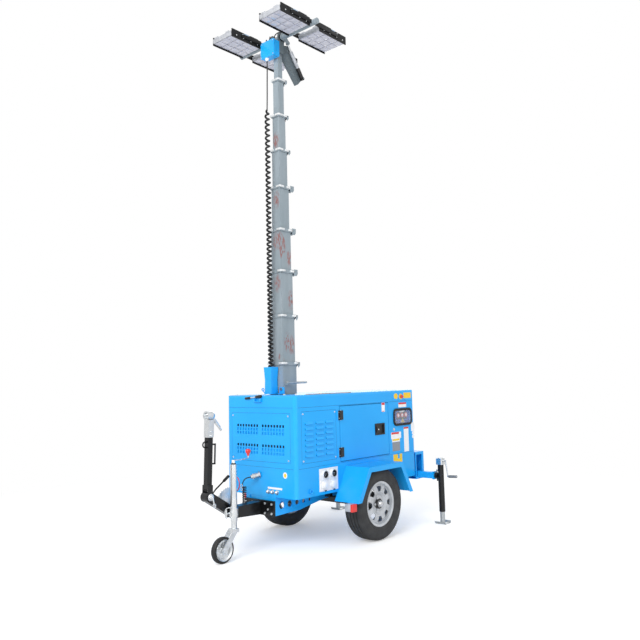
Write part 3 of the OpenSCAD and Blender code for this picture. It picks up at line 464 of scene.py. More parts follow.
# %% Finish the CAD pieces
FINISHES = {
    BLUE: ["chassis", "base_box", "canopy", "roof_cap", "front_panel", "louvre_panels", "fender_left", "fender_right",
           "rear_frame", "door_left", "door_right", "outrigger_left", "outrigger_right", "cable_chute",
           "junction_box"],
    HEAD_PAINT_AND_SHADE: ["mast_head"],
    MAST: ["mast_base", "lamp_bar"] + [f"mast_tube_{i}" for i in range(2, 10)],
    BLACK: ["axle", "drawbar_beam", "drawbar_arm", "leg_left", "leg_right"],
    ZINC: ["coupling_head", "drawbar_fittings", "jockey_tube", "jockey_stem", "jockey_fork", "jockey_crank",
           "leg_head_left", "leg_head_right", "actuator_rod"],
    GALVANISED: ["foot_left", "foot_right"],
    LACQUER: ["rim_left", "rim_right"],
    TYRE: ["tyre_left", "tyre_right", "jockey_wheel"],
    ABS: ["door_fittings_left", "door_fittings_right", "actuator_body"],
    RUBBER: ["control_frame"],
    SHEATH: ["cable_coil", "cable_lead"],
    ANODISED: ["lamp_housings"],
    SOCKET_WHITE: ["socket_panel"],
    LENS: ["lamp_lenses"],
    CLEAR: ["control_glass"],
    PANEL_BLUE: ["control_panel"],
    RED_PLASTIC: ["marker_lamps"],
    GREY_PLASTIC: ["engine_block"],
}
for material, names in FINISHES.items():
    for name in names:
        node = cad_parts[name]
        node.data.materials.clear()
        node.data.materials.append(material)
print("finished", sum(len(names) for names in FINISHES.values()), "of", len(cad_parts), "CAD pieces")

# %% [markdown]
# ## The curly cable
# A curly cable is wound hot on a mandrel, so it springs between the chute on the roof and the junction box at the
# mast's top. It is one helix: a circle of points moved up a little at each step. As the mast telescopes, each stretch
# of turns spreads between two neighbouring tubes, so the helix is made in stretches, as separate pieces, and the
# straight lead above it is a piece of its own.

# %% Curly cable
COIL_AXIS = (681.5, -16.5)
COIL_D = 52
WIRE_D = 19
LEAD_D = 11
PITCH_LOW = 33
PITCH_TOP = 52
TURN_STEPS = 16
WIRE_SIDES = 8
STRETCHES = [418.7, 397.5, 368.0, 391.6, 333.8, 313.7, 326.7]
BODIES = ["mast_base"] + [f"mast_tube_{i}" for i in range(2, 10)]
coil_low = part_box("cable_coil")[0].z * 1000
coil_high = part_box("cable_coil")[1].z * 1000


def turned(z):
    """The angle wound up to a height: the turns lie closer at the bottom, where they hang on one another."""
    slope = (PITCH_TOP - PITCH_LOW) / (coil_high - coil_low)
    return 2 * math.pi * math.log((PITCH_LOW + slope * (z - coil_low)) / PITCH_LOW) / slope


def helix_point(z):
    """A point of the wire's middle line at a height in millimetres; the last turn draws in to the lead."""
    angle = turned(z)
    left = min(1, (coil_high - z) / 45, (z - coil_low + 20) / 45)
    r = (COIL_D - WIRE_D) / 2 * max(0.0, left) ** 0.5
    return at(COIL_AXIS[0] + r * math.cos(angle), COIL_AXIS[1] + r * math.sin(angle), z)


def wire(points, d, name):
    """A round wire swept along close points, with closed ends."""
    vertices, faces = [], []
    for k, p in enumerate(points):
        along = (points[min(k + 1, len(points) - 1)] - points[max(k - 1, 0)]).normalized()
        side = along.cross(Vector((0, 0, 1))).normalized()
        other = side.cross(along)
        for j in range(WIRE_SIDES):
            a = 2 * math.pi * j / WIRE_SIDES
            vertices.append(p + (side * math.cos(a) + other * math.sin(a)) * d / 2000)
    n = WIRE_SIDES
    for k in range(len(points) - 1):
        faces += [(k * n + j, k * n + (j + 1) % n, (k + 1) * n + (j + 1) % n, (k + 1) * n + j) for j in range(n)]
    faces += [tuple(reversed(range(n))), tuple(range(len(vertices) - n, len(vertices)))]
    mesh = bpy.data.meshes.new(name)
    mesh.from_pydata(vertices, [], faces)
    obj = bpy.data.objects.new(name, mesh)
    bpy.context.scene.collection.objects.link(obj)
    only(obj)
    bpy.ops.object.mode_set(mode="EDIT")
    bpy.ops.mesh.select_all(action="SELECT")
    bpy.ops.mesh.normals_make_consistent(inside=False)
    bpy.ops.object.mode_set(mode="OBJECT")
    bpy.ops.object.shade_smooth_by_angle(angle=math.radians(60))
    return obj


def curly_cable():
    """The helix in stretches, each a separate piece of wire."""
    low, length = coil_low, 0
    for k, stretch in enumerate(STRETCHES):
        high = coil_high if k == len(STRETCHES) - 1 else low + stretch
        count = round((turned(high) - turned(low)) / (2 * math.pi) * TURN_STEPS)
        points = [helix_point(low + (high - low) * i / count) for i in range(count + 1)]
        length += sum((b - a).length for a, b in zip(points, points[1:]))
        obj = wire(points, WIRE_D, f"curly_cable_{k + 1}")
        obj.data.materials.append(SHEATH)
        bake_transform(obj)
        if k == 0:
            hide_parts("cable_coil")
        low = high
    print("curly cable holds", round(length, 2), "m of wire")


LEAD_ROUTE = [(635, -55, 4330), (635, -55, 4280), (639, -52, 4200), (650, -43, 4100), (663, -31, 4000),
              (675, -21, 3900), (681.5, -16.5, 3830)]


def straight_lead():
    """The straight lead from the gland to the top turn."""
    obj = hose(LEAD_ROUTE, LEAD_D, 12)
    obj.name = "cable_straight_lead"
    obj.data.materials.clear()
    obj.data.materials.append(SHEATH)
    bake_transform(obj)
    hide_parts("cable_lead")
    print("lead", len(obj.data.polygons), "faces")


curly_cable()
straight_lead()

# %% [markdown]
# ## Turned and bead pieces
# Two more helpers: a lathe, which spins an outline round an axis as a wheel or a knob is turned, and a bead, which lays
# sealant or wire along a line of points.

# %% Helpers for turned pieces and beads
def lathe(outline, centre, axis=(0, 0, 1), sides=48, closed=True):
    """A turned piece: points of radius and height in millimetres, spun round an axis through a centre."""
    mesh = bpy.data.meshes.new("lathe")
    count = len(outline)
    edges = [(k, k + 1) for k in range(count - 1)] + ([(count - 1, 0)] if closed else [])
    mesh.from_pydata([(r / 1000, 0, h / 1000) for r, h in outline], edges, [])
    obj = bpy.data.objects.new("lathe", mesh)
    bpy.context.scene.collection.objects.link(obj)
    apply(obj, "SCREW", steps=sides, render_steps=sides, use_merge_vertices=True, merge_threshold=0.00001)
    bpy.ops.object.mode_set(mode="EDIT")
    bpy.ops.mesh.select_all(action="SELECT")
    bpy.ops.mesh.normals_make_consistent(inside=False)
    bpy.ops.object.mode_set(mode="OBJECT")
    obj.matrix_world = Matrix.Translation(at(*centre)) @ Vector(axis).to_track_quat("Z", "Y").to_matrix().to_4x4()
    return settle(obj)


def screw(place, axis, d=15, height=5, sides=14):
    """A domed screw head on a face."""
    tip = Vector(place) + Vector(axis) * height
    return rod(place, tip, d, sides, height * 0.45)


def loop(outline, axis, level, d):
    """A bead laid along a closed outline on a plane at a level of x, y or z."""
    order = {"x": lambda u, v: (level, u, v), "y": lambda u, v: (u, level, v), "z": lambda u, v: (u, v, level)}[axis]
    points = [order(u, v) for u, v in outline]
    return hose(points + points[:1], d, 8, False)


def flip(obj):
    """Put a piece on the other side of the centre line."""
    obj.data.transform(Matrix.Scale(-1, 4, (0, 1, 0)))
    obj.data.flip_normals()


print("turned pieces and beads ready")

# %% [markdown]
# ## Seams and panels of the canopy
# The canopy is folded from sheet and screwed together. The shade in each joint is painted as a dark blue bead: round
# the roof, round the lower box and round each screwed panel. From a step away these painted shade lines are what draws
# the panels, so they stand a hair proud of the paint.

# %% Seams
HALF_W = 420
CANOPY_X = (-833, 837)
# Dark blue beads paint the shade that lies in the canopy's joints.
SEAM_SHADE_PAINT = moulded("painted_seam_shade", "#0C4A94", 0.6, 5, 0.02, "#0A4288")
SHADE_BEAD_D = 9
SHADE_BEAD_SUNK = 3.9


def seams():
    """Dark blue beads that paint the shade in the joints at the roof, at the lower box and round the front and both
    louvre panels.
    """
    inset = SHADE_BEAD_SUNK
    plan = rounded((CANOPY_X[0] + inset, -HALF_W + inset), (CANOPY_X[1] - inset, HALF_W - inset), 30)
    around = [loop(plan, "z", z, SHADE_BEAD_D) for z in (675, 1165)]
    front = loop(rounded((-358, 719), (358, 1121), 3, 2), "x", CANOPY_X[1] - inset, SHADE_BEAD_D)
    louvre = loop(rounded((341, 714), (768, 1131), 3, 2), "y", HALF_W - inset, SHADE_BEAD_D)
    finish(join(around + [front, louvre, mirrored(louvre)]), "canopy_seam_shade", SEAM_SHADE_PAINT, "trailer", 60)


seams()

# %% Panel screws
def panel_screws():
    """Zinc screws at the corners of the front panel and of both louvre panels."""
    front = [screw((CANOPY_X[1], y, z), (1, 0, 0)) for y in (-340, 338) for z in (740, 1098)]
    side = join([screw((x, HALF_W, z), (0, 1, 0)) for x in (357, 752) for z in (733, 1112)])
    finish(join(front + [side, mirrored(side)]), "panel_screws", ZINC, "trailer")


panel_screws()

# %% [markdown]
# Behind the front grille a folded baffle turns the air upwards and keeps rain out. Its foot stands close behind the two
# lower rows of holes, so they look blue. Behind the top row and behind the louvres' slots a dark sheet paints the shade
# inside the canopy.

# %% Baffles
def baffles():
    """Blue baffles behind the lower rows of holes, and dark sheets behind the rest that paint the shade inside."""
    lit = [block((826.5, -330, z - 4), (829.5, 330, z + 56), 0.5) for z in (778, 942)]
    finish(join(lit), "grille_baffles", BLUE, "trailer")
    # Dark sheets behind the top row of holes and behind the louvres paint the shade inside the canopy.
    back = [block((814, -334, 743), (816, 334, 1097), 0)]
    louvre = block((364, 399, 738), (745, 401, 1108), 0)
    finish(join(back + [louvre, mirrored(louvre)]), "grille_painted_shade", RUBBER, "trailer")


baffles()

# %% [markdown]
# ## Hinges and latch
# The hinges are black lift-off leaf hinges, so the leaf that stays on the canopy is black too. The latch is a sunk
# paddle: a finger hollow beside a flap, with a lock barrel in the middle. A second lock closes the control window.

# %% Hinges and latch
HINGE = (287, 428.3)
HINGE_FOOT = (723, 1039)
HINGE_H = 80


def hinges():
    """Black cover on each fixed leaf and on its two barrels, and the pin's bright ends."""
    covers, pins = [], []
    for z in HINGE_FOOT:
        covers.append(block((HINGE[0] + 9.4, 419.6, z - 0.4), (HINGE[0] + 27, 426.2, z + HINGE_H + 0.4), 1.2))
        for low in (z - 0.5, z + 0.7 * HINGE_H - 0.1):
            covers.append(rod((*HINGE, low), (*HINGE, low + 0.3 * HINGE_H + 0.6), 17, 20))
            covers.append(block((HINGE[0] - 0.2, 419.8, low), (HINGE[0] + 12, 425.6, low + 0.3 * HINGE_H + 0.6), 0.4))
        pins.append(rod((HINGE[0], HINGE[1], z - 3), (HINGE[0], HINGE[1], z + HINGE_H + 3), 8, 12))
        pins += [screw((HINGE[0] + 19, 426, z + h), (0, 1, 0), 8, 2, 10) for h in (16, 64)]
    cover, pin = join(covers), join(pins)
    finish(join([cover, mirrored(cover)]), "hinge_leaves", ABS, "trailer")
    finish(join([pin, mirrored(pin)]), "hinge_pins", ZINC, "trailer")


hinges()

# %% Latch
def latches():
    """The lock barrel and the flap's rib on each door's latch, and the lock of the control window."""
    for side, body in ((1, "door_left"), (-1, "door_right")):
        barrel = rod((-238, 432.5, 922), (-238, 436, 922), 13, 20)
        if side < 0:
            flip(barrel)
        finish(barrel, f"latch_lock_{body}", ZINC, body)
        rim = loop(rounded((-343, 873), (-203, 973), 8), "y", 424.2, 4)
        if side < 0:
            flip(rim)
        finish(rim, f"latch_rim_{body}", ABS, body, 60)
    finish(lathe([(0, 0), (13, 0), (13, 3), (11, 5), (0, 5)], (-491, 419.8, 905), (0, 1, 0), 24, False),
           "window_lock", ZINC, "trailer")


latches()

# %% [markdown]
# ## Control window
# Through the window one sees a blue panel: a row of three gauges with red rims on a dark strip, a pale switch plate
# and a yellow triangle. Faces and plates are left blank.

# %% Control window
WINDOW = (-786, 933, -484, 1098)


def gauges():
    """Three gauges on a dark strip, with red rims, pale faces and short hands."""
    strip = block((-728, 403.6, 990), (-560, 406, 1062), 1)
    knobs = [rod((x, 404, 972), (x, 412, 972), 11, 16) for x in (-735, -700, -560, -535)]
    finish(join([strip] + knobs), "gauge_strip", ABS, "trailer")
    rims = [lathe([(15, 0), (23, 0), (23, 5), (20, 8), (16, 8)], (x, 407, 1031), (0, 1, 0), 32)
            for x in (-706, -644, -582)]
    finish(join(rims), "gauge_rims", RED_PLASTIC, "trailer")
    faces = [rod((x, 411, 1031), (x, 412.6, 1031), 31, 24, 0.2) for x in (-706, -644, -582)]
    finish(join(faces), "gauge_faces", WHITE_VINYL, "trailer")


def window_plates():
    """The pale switch plate, small keys and the yellow triangle."""
    pale = [block((-690, 404, 1058), (-612, 408, 1074), 1.5)]
    pale += [block((x, 404, 966), (x + 12, 407, 976), 1) for x in (-660, -640)]
    finish(join(pale), "switch_plate", WHITE_VINYL, "trailer")
    triangle = plate([(-688, 958), (-628, 958), (-658, 998)], "y", 404, 407, 0.5)
    finish(triangle, "warning_triangle", YELLOW_VINYL, "trailer")
    seal = join([loop(rounded((WINDOW[0] + k, WINDOW[1] + k), (WINDOW[2] - k, WINDOW[3] - k), 46 - k, 8), "y", y, d)
                 for k, y, d in ((6, 426, 12), (12, 428, 12), (18, 427, 11))])
    finish(seal, "window_seal", RUBBER, "trailer", 60)
    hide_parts("control_frame")


gauges()
window_plates()

# %% [markdown]
# ## Sockets
# Four mains sockets sit two by two in white frames: the upper ones open, with a dark insert and three pin holes, the
# lower ones closed by round hinged lids with a dark catch.

# %% Sockets
SOCKET_XS = (403.3, 510)


def sockets():
    """Frames, dark inserts with their pins' holes, lids and catches."""
    frames, dark, lids = [], [], []
    for x in SOCKET_XS:
        for z in (516, 604):
            frames.append(loop(rounded((x - 47, z - 40), (x + 47, z + 40), 8), "y", 424.4, 5))
        dark.append(lathe([(0, 0), (24, 0), (24, 3), (27, 4), (29.5, 12), (22, 12), (20, 5), (0, 5)],
                          (x, 433.5, 603.6), (0, 1, 0), 32, False))
        dark.append(block((x - 10, 436, 466), (x + 10, 443, 476), 2))
        lids.append(lathe([(0, 6), (16, 5), (24, 3), (27, 0), (24, 0), (0, 0)], (x, 437.6, 516.2), (0, 1, 0), 32, False))
        lids += [rod((x + 9 * math.cos(a), 438, 603.6 + 9 * math.sin(a)), (x + 9 * math.cos(a), 440, 603.6 + 9 * math.sin(a)),
                     5, 10, 0.4) for a in (0.3, 2.8, 4.7)]
    finish(join(frames), "socket_frames", SOCKET_WHITE, "trailer", 60)
    finish(join(dark), "socket_inserts", ABS, "trailer")
    finish(join(lids), "socket_lids", SOCKET_WHITE, "trailer")


sockets()

# %% [markdown]
# ## Labels
# Labels are printed vinyl, all left blank: only their plain fields of colour stay. They lie on the left side and on
# the front, where the photograph shows them.

# %% Labels
LABELS = {
    "yellow_labels": (YELLOW_VINYL, [((-571, 1188), (-509, 1241), 26), ((-650, 1183), (-590, 1235), 26),
                                     ((-788, 1190), (-667, 1244), 4)]),
    "white_labels": (WHITE_VINYL, [((-706, 1106), (-578, 1151), 4), ((-360, 1077), (-311, 1162), 2),
                                   ((-604, 817), (-444, 877), 4), ((-584, 786), (-456, 817), 2),
                                   ((-727, 682), (-650, 915), 3), ((-828, 868), (-773, 952), 4),
                                   ((-826, 833), (-786, 865), 15), ((-826, 799), (-786, 831), 15)]),
    "grey_label": (GREY_VINYL, [((-582, 701), (-461, 785), 3)]),
}
HEADERS = {
    "red_headers": (RED_VINYL, [((-706, 1134), (-578, 1151), 3), ((-358, 1140), (-313, 1161), 2),
                                ((-352, 1080), (-318, 1086), 1), ((-570, 858), (-450, 876), 3),
                                ((-727, 898), (-650, 915), 3)]),
    "yellow_headers": (YELLOW_VINYL, [((-576, 797), (-464, 814), 2)]),
}


def labels(table, high):
    """Films on the left side, each colour one piece."""
    for name, (film, places) in table.items():
        made = [plate(rounded(a, b, r), "y", HALF_W - 0.2, high, 0) for a, b, r in places]
        finish(join(made), name, film, "trailer")


def other_labels():
    """The notched yellow plate on the lower box, the pale strip and the sticker on the front, and the stop button."""
    notched = [(-609, 592), (-470, 592), (-470, 670), (-540, 670), (-540, 628), (-572, 628), (-572, 670), (-609, 670)]
    finish(plate(notched, "y", HALF_W - 0.2, HALF_W + 0.5, 0), "notched_label", YELLOW_VINYL, "trailer")
    front = [plate(rounded((88, 503), (255, 519), 2), "x", CANOPY_X[1] - 0.2, CANOPY_X[1] + 0.4, 0),
             plate(rounded((270, 598), (316, 648), 22.5), "x", CANOPY_X[1] - 0.2, CANOPY_X[1] + 0.4, 0)]
    finish(join(front), "front_labels", WHITE_VINYL, "trailer")
    finish(plate(rounded((281, 606), (305, 638), 11), "x", CANOPY_X[1] + 0.2, CANOPY_X[1] + 0.7, 0), "front_sticker_field",
           YELLOW_VINYL, "trailer")
    button = lathe([(0, 24), (12, 22), (17, 17), (17, 12), (9, 10), (9, 0), (0, 0)], (-622, HALF_W, 1208), (0, 1, 0), 28, False)
    finish(button, "stop_button", RED_PLASTIC, "trailer")


labels(LABELS, HALF_W + 0.35)
labels(HEADERS, HALF_W + 0.6)
other_labels()

# %% [markdown]
# ## Wheels
# The tyre is turned from one outline: bead, sidewall with its two rings, shoulder and four grooves round the tread. The
# rim keeps its CAD shape and gets a dark ring round a bright hub cap, nuts with seats and a valve.

# %% Tyres
def tyre_outline():
    """Half an outline from the bead to the middle of the tread, then its mirror image."""
    half = [(178.5, 69.5), (191.5, 69.5), (192, 79.5), (205, 86), (216, 89.5), (219, 88), (223, 90.5), (241, 92.5),
            (262, 92), (276, 89), (279, 87), (283, 87.5), (296, 79), (302.5, 69), (306, 54), (299.5, 51.5), (299.5, 45),
            (306.6, 42.5), (307.2, 22), (300, 19.5), (300, 13), (307.5, 10.5)]
    return half + [(r, -h) for r, h in reversed(half)]


for wheel_side, wheel_body in ((1, "wheel_left"), (-1, "wheel_right")):
    tyre = lathe(tyre_outline(), (0, wheel_side * 537.5, 307.5), (0, 1, 0), 96)
    finish(tyre, wheel_body.replace("wheel", "grooved_tyre"), TYRE, wheel_body, 30)
    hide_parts(wheel_body.replace("wheel", "tyre"))

# %% Hubs
def hub(side, body):
    """The dark ring, the bright cap and the valve of one wheel."""
    out = (0, side, 0)
    face = side * 584
    ring_piece = lathe([(31.4, 0), (42, 0), (42, 17), (38, 21), (31.4, 21)], (0, face, 307.5), out, 40)
    finish(ring_piece, f"hub_ring_{body}", ABS, body)
    cap = lathe([(0, 46), (14, 45), (23, 40), (27, 30), (29.5, 20.5), (0, 20.5)], (0, face, 307.5), out, 40, False)
    seats = [lathe([(10, 4), (16, 4), (16, 1.5), (10, 1.5)],
                   (50 * math.cos(math.radians(a)), face - side * 1, 307.5 + 50 * math.sin(math.radians(a))), out, 20)
             for a in range(0, 360, 72)]
    finish(join([cap] + seats), f"hub_cap_{body}", STEEL, body)
    valve = rod((118, side * 590, 405), (112, side * 612, 400), 9, 12)
    finish(valve, f"valve_{body}", RUBBER, body)


hub(1, "wheel_left")
hub(-1, "wheel_right")

# %% [markdown]
# ## Front of the canopy and drawbar
# The trailer's plug is parked in a bright holder on the front, with its lead and a curled cable hanging beside the
# jockey wheel. Three cable glands stand below the pale label, and bolts hold the drawbar's flange.

# %% Plug, glands and bolts
def front_fittings():
    """The parked plug with its ribs, three glands and the flange's bolts."""
    plug = lathe([(0, 0), (30, 0), (30, 5), (20, 6), (20, 28), (24, 30), (24, 36), (20, 38), (20, 44), (24, 46), (24, 58),
                  (18, 62), (18, 76), (0, 76)], (CANOPY_X[1], -12, 610), (0.86, -0.5, -0.2), 28, False)
    glands = [lathe([(0, 0), (17, 0), (17, 7), (12, 8), (12, 22), (7, 27), (0, 27)], (CANOPY_X[1], y, 482), (1, 0, 0), 18, False)
              for y in (98, 148, 202)]
    finish(join([plug] + glands), "parked_plug_and_glands", STEEL, "trailer")
    bolts = [screw((858, y, z), (1, 0, 0), 24, 12, 6) for y in (-155, -75, 75, 155) for z in (310, 385)]
    bolts += [screw((858, y, z), (1, 0, 0), 22, 14, 6) for y, z in ((112, 342), (-112, 342))]
    finish(join(bolts), "flange_bolts", ZINC, "trailer")


front_fittings()

# %% Front cables
def front_cables():
    """The plug's lead, the curled cable that hangs from it, the red breakaway cable and their spring hook."""
    lead = hose([(902, -50, 595), (925, -90, 580), (950, -95, 552), (975, -70, 532)], 10, 8)
    turns = 9
    steps = turns * 12
    curl = [(980 + 15 * math.cos(2 * math.pi * k / 12), -42 + 15 * math.sin(2 * math.pi * k / 12), 528 - 132 * k / steps)
            for k in range(steps + 1)]
    twist = hose([(975, -70, 532), (985, -60, 534)] + curl, 9, 8)
    tail = hose([curl[-1], (985, -30, 380), (1000, -10, 372), (1010, 20, 392)], 9, 8)
    finish(join([lead, twist, tail]), "curled_trailer_cable", SHEATH, "trailer", 60)
    red = hose([(1000, -118, 604), (1000, -95, 590), (1000, -82, 556), (1000, -86, 520), (1000, -110, 488)], 9, 8)
    finish(red, "breakaway_cable", RED_PLASTIC, "trailer", 60)
    hook = [ring((1000, -56, 534), (1, 0, 0.2), 26, 5, 20), ring((1000, -54, 508), (1, 0, 0), 22, 5, 20)]
    finish(join(hook), "spring_hook", STEEL, "trailer", 60)


front_cables()

# %% Marker lamps
def marker_lamps():
    """A pale reflector block with a red end under each fender's front foot, in place of the CAD blocks."""
    pale = block((380, 574, 306), (434, 637, 367.6), 5, 3)
    red = block((378, 636, 305), (437, 661, 367.6), 4, 3)
    for part, name, material, slot in ((pale, "marker_reflectors", SILVER_GREY, "silver_paint"),
                                       (red, "marker_lenses", RED_PLASTIC, "marker_red")):
        both = join([part, mirrored(part)])
        finish(both, name, material, "trailer")
        if part is red:
            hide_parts("marker_lamps")


SILVER_GREY = plated("silver_grey_lacquer", "#C3C6CC", 0.4, 30, metallic=0.4)
marker_lamps()

# %% [markdown]
# ## Handbrake and jockey clamp
# The handbrake's quadrant is a toothed plate on the beam's right side; its lever leans back and ends in a black grip.
# The jockey clamp is a split ring on a bracket, closed by a toggle screw. These shapes take the CAD piece's place.

# %% Handbrake and clamp
def handbrake():
    """Quadrant and clamp in zinc, which replace the CAD fittings, and the black lever."""
    teeth = []
    for k in range(25):
        a = math.radians(12 + 100 * k / 24)
        r = 152 if k % 2 else 144
        teeth.append((1150 + r * math.cos(a), 397 + r * math.sin(a)))
    quadrant = plate(teeth + [(1118, 415), (1125, 385), (1190, 385)], "y", -35, -29, 0.5)
    clamp = lathe([(27.3, 336), (35, 336), (35, 398), (27.3, 398)], (1195, 75, 0), (0, 0, 1), 32)
    bracket = block((1150, 40.4, 322), (1180, 48, 396), 1.5)
    arms = [block((1148, 44, z), (1182, 62, z + 12), 1.5) for z in (340, 384)]
    screw_rod = rod((1236, 75, 366), (1275, 75, 366), 12)
    toggle = rod((1272, 75, 338), (1272, 75, 394), 11)
    guard = hose([(1214, 60, 330), (1262, 60, 332), (1270, 60, 350), (1270, 60, 388), (1258, 60, 402), (1214, 60, 402)], 9, 8)
    made = join([quadrant, clamp, bracket] + arms + [screw_rod, toggle, guard])
    finish(made, "handbrake_quadrant_and_clamp", ZINC, "trailer")
    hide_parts("drawbar_fittings")
    lever = hose([(1250, -42, 440), (1316, -42, 512), (1280, -42, 545), (1146, -42, 634)], 13, 10, False)
    pad = plate(rounded((1232, 420), (1268, 458), 10), "y", -47, -36, 1)
    grip = rod((1200, -42, 598), (1146, -42, 634), 24, 20, 3)
    finish(join([lever, pad, grip]), "handbrake_lever", BLACK, "trailer", 50)


handbrake()

# %% [markdown]
# ## Jockey wheel
# The crank's red knob is moulded in one with its neck. The wheel is a thin black tyre on a cast hub with six spokes,
# and it takes the place of the CAD wheel.

# %% Jockey crank and wheel
def jockey_crank():
    """The crank's hub, arm and upright pin, and the red knob."""
    arm = hose([(1195, 75, 768), (1120, 75, 768), (1056, 75, 771), (1039, 75, 778), (1039, 75, 796)], 11, 10)
    hub_piece = lathe([(0, 0), (15, 0), (15, 30), (12, 34), (0, 34)], (1195, 75, 738.4), (0, 0, 1), 24, False)
    made = join([arm, hub_piece])
    finish(made, "jockey_crank_arm", ZINC, "trailer")
    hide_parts("jockey_crank")
    knob = lathe([(0, 0), (9, 0), (10, 6), (12, 16), (19, 26), (22.5, 36), (21, 46), (14, 53), (0, 55)], (1039, 75, 790),
                 (0, 0, 1), 28, False)
    finish(knob, "red_knob", RED_PLASTIC, "trailer")
    bush = rod((1195, 75, 738.2), (1195, 75, 748), 36, 24)
    finish(bush, "jockey_bush", ABS, "trailer")


def jockey_wheel():
    """Tyre, and a hub with six spokes."""
    centre = (1313, 75, 100)
    tread = lathe([(78, -19), (86, -24), (94, -23), (99, -15), (100, -6), (100, 6), (99, 15), (94, 23), (86, 24),
                   (78, 19)], centre, (0, 1, 0), 64)
    finish(tread, "jockey_tyre", RUBBER, "jockey_wheel")
    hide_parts("jockey_wheel")
    cast = [lathe([(66, -17), (78.5, -21), (81, -24), (78.5, -17), (78.5, 17), (81, 24), (78.5, 21), (66, 17)], centre, (0, 1, 0), 48),
            lathe([(0, -25), (12, -25), (20, -22), (22, -12), (22, 12), (20, 22), (12, 25), (0, 25)], centre, (0, 1, 0), 32, False),
            lathe([(0, -36), (7, -36), (7, 36), (0, 36)], centre, (0, 1, 0), 20, False)]
    for k in range(6):
        spoke = block((centre[0] + 18, 68, 93), (centre[0] + 70, 82, 107), 2)
        spoke.data.transform(Matrix.Translation(at(*centre)) @ Matrix.Rotation(math.radians(60 * k + 15), 4, "Y")
                             @ Matrix.Translation(-at(*centre)))
        cast.append(spoke)
    disc = lathe([(20, -3), (68, -3), (68, 3), (20, 3)], centre, (0, 1, 0), 48)
    finish(join(cast + [disc]), "jockey_hub", ZINC, "jockey_wheel")


jockey_crank()
jockey_wheel()

# %% [markdown]
# ## Drawbar arm
# The knuckle's toggle nut hangs from a link, so the arm can be folded without tools. The coupling carries a lever with
# a curved grip on its back, and a spring pin on its side.

# %% Knuckle and coupling
def knuckle():
    """The bright nut and its toggle with a ring, on the knuckle's left side."""
    made = [lathe([(0, 0), (27, 0), (27, 6), (20, 8), (20, 18), (12, 21), (0, 21)], (1397, 37.4, 505), (0, 1, 0), 28, False),
            rod((1397, 62, 512), (1383, 66, 452), 12, 12), ring((1382, 66, 444), (0, 1, 0), 26, 6, 20),
            rod((1388, 66, 478), (1372, 66, 425), 8, 10)]
    finish(join(made), "knuckle_toggle", ZINC, "drawbar_arm")


def coupling():
    """The coupling's side bolts, its latch lever and the neck's ribs."""
    lean = math.radians(2)
    top = Vector((1397 - 500 * math.sin(lean), 0, 505 + 500 * math.cos(lean)))
    made = [screw(top + Vector((x, 27.5, z)), (0, 1, 0), 18, 8, 6) for x, z in ((1, 0), (0, -34))]
    made += [rod(top + Vector((6, -34, 120)), top + Vector((6, 34, 120)), 13, 16),
             hose([top + Vector(p) for p in ((-26, 0, 100), (-50, 0, 92), (-78, 0, 62), (-106, 0, 26))], 21, 14),
             plate([(top.x - 40, top.z + 96), (top.x - 14, top.z + 150), (top.x + 6, top.z + 156), (top.x + 2, top.z + 92)],
                   "y", -12, 12, 3)]
    finish(join(made), "coupling_lever", ZINC, "drawbar_arm", 50)


knuckle()
coupling()

# %% [markdown]
# ## Stabilisers
# The crank on each leg has a grey rubber grip, and bright pins lock the swivel that swings the leg up for travel.

# %% Stabiliser fittings
def stabiliser(side):
    """Grip, swivel pins and head screws of one leg."""
    body = "leg_left" if side > 0 else "leg_right"
    name = body.replace("leg", "stabiliser")
    grip = lathe([(0, 0), (12, 0), (13.5, 6), (13.5, 84), (11, 90), (0, 90)], (-900, 660 + 88, 442.2), (0, 104, 6), 24, False)
    pins = [rod((-900, 616, 474), (-900, 616, 506), 12, 14), rod((-900, 616, 416), (-900, 616, 392), 10, 14),
            rod((-866, 640, 480), (-866, 656, 480), 14, 6), rod((-934, 640, 410), (-934, 656, 410), 14, 6),
            lathe([(16.4, 0), (24, 0), (24, 7), (16.4, 7)], (-900, 598, 445), (0, 1, 0), 28)]
    cap = [lathe([(0, 0), (25, 0), (27, 3), (22, 8), (0, 9)], (-900, 660, 610), (0, 0, 1), 32, False),
           lathe([(9, 0), (16, 0), (16, 8), (9, 8)], (-900, 692, 587.5), (0, 1, 0), 24)]
    bright = join(pins + cap)
    if side < 0:
        flip(grip)
        flip(bright)
    finish(grip, f"{name}_grip", GREY_PLASTIC, body)
    finish(bright, f"{name}_pins", ZINC, body)


stabiliser(1)
stabiliser(-1)

# %% [markdown]
# ## Mast
# Each tube carries a collar with slide pads screwed in at its corners, and the hoist rope runs over a small wheel in
# the lugs behind it. The pads are bright where the next tube rubs them. A pale strip down one corner of each upper tube
# is a painted highlight on its rounded edge.

# %% Collar pads and rope wheels
COLLAR_TOPS = (1552, 1970, 2370, 2745, 3140, 3486, 3815, 4155)
MAST_X = 550


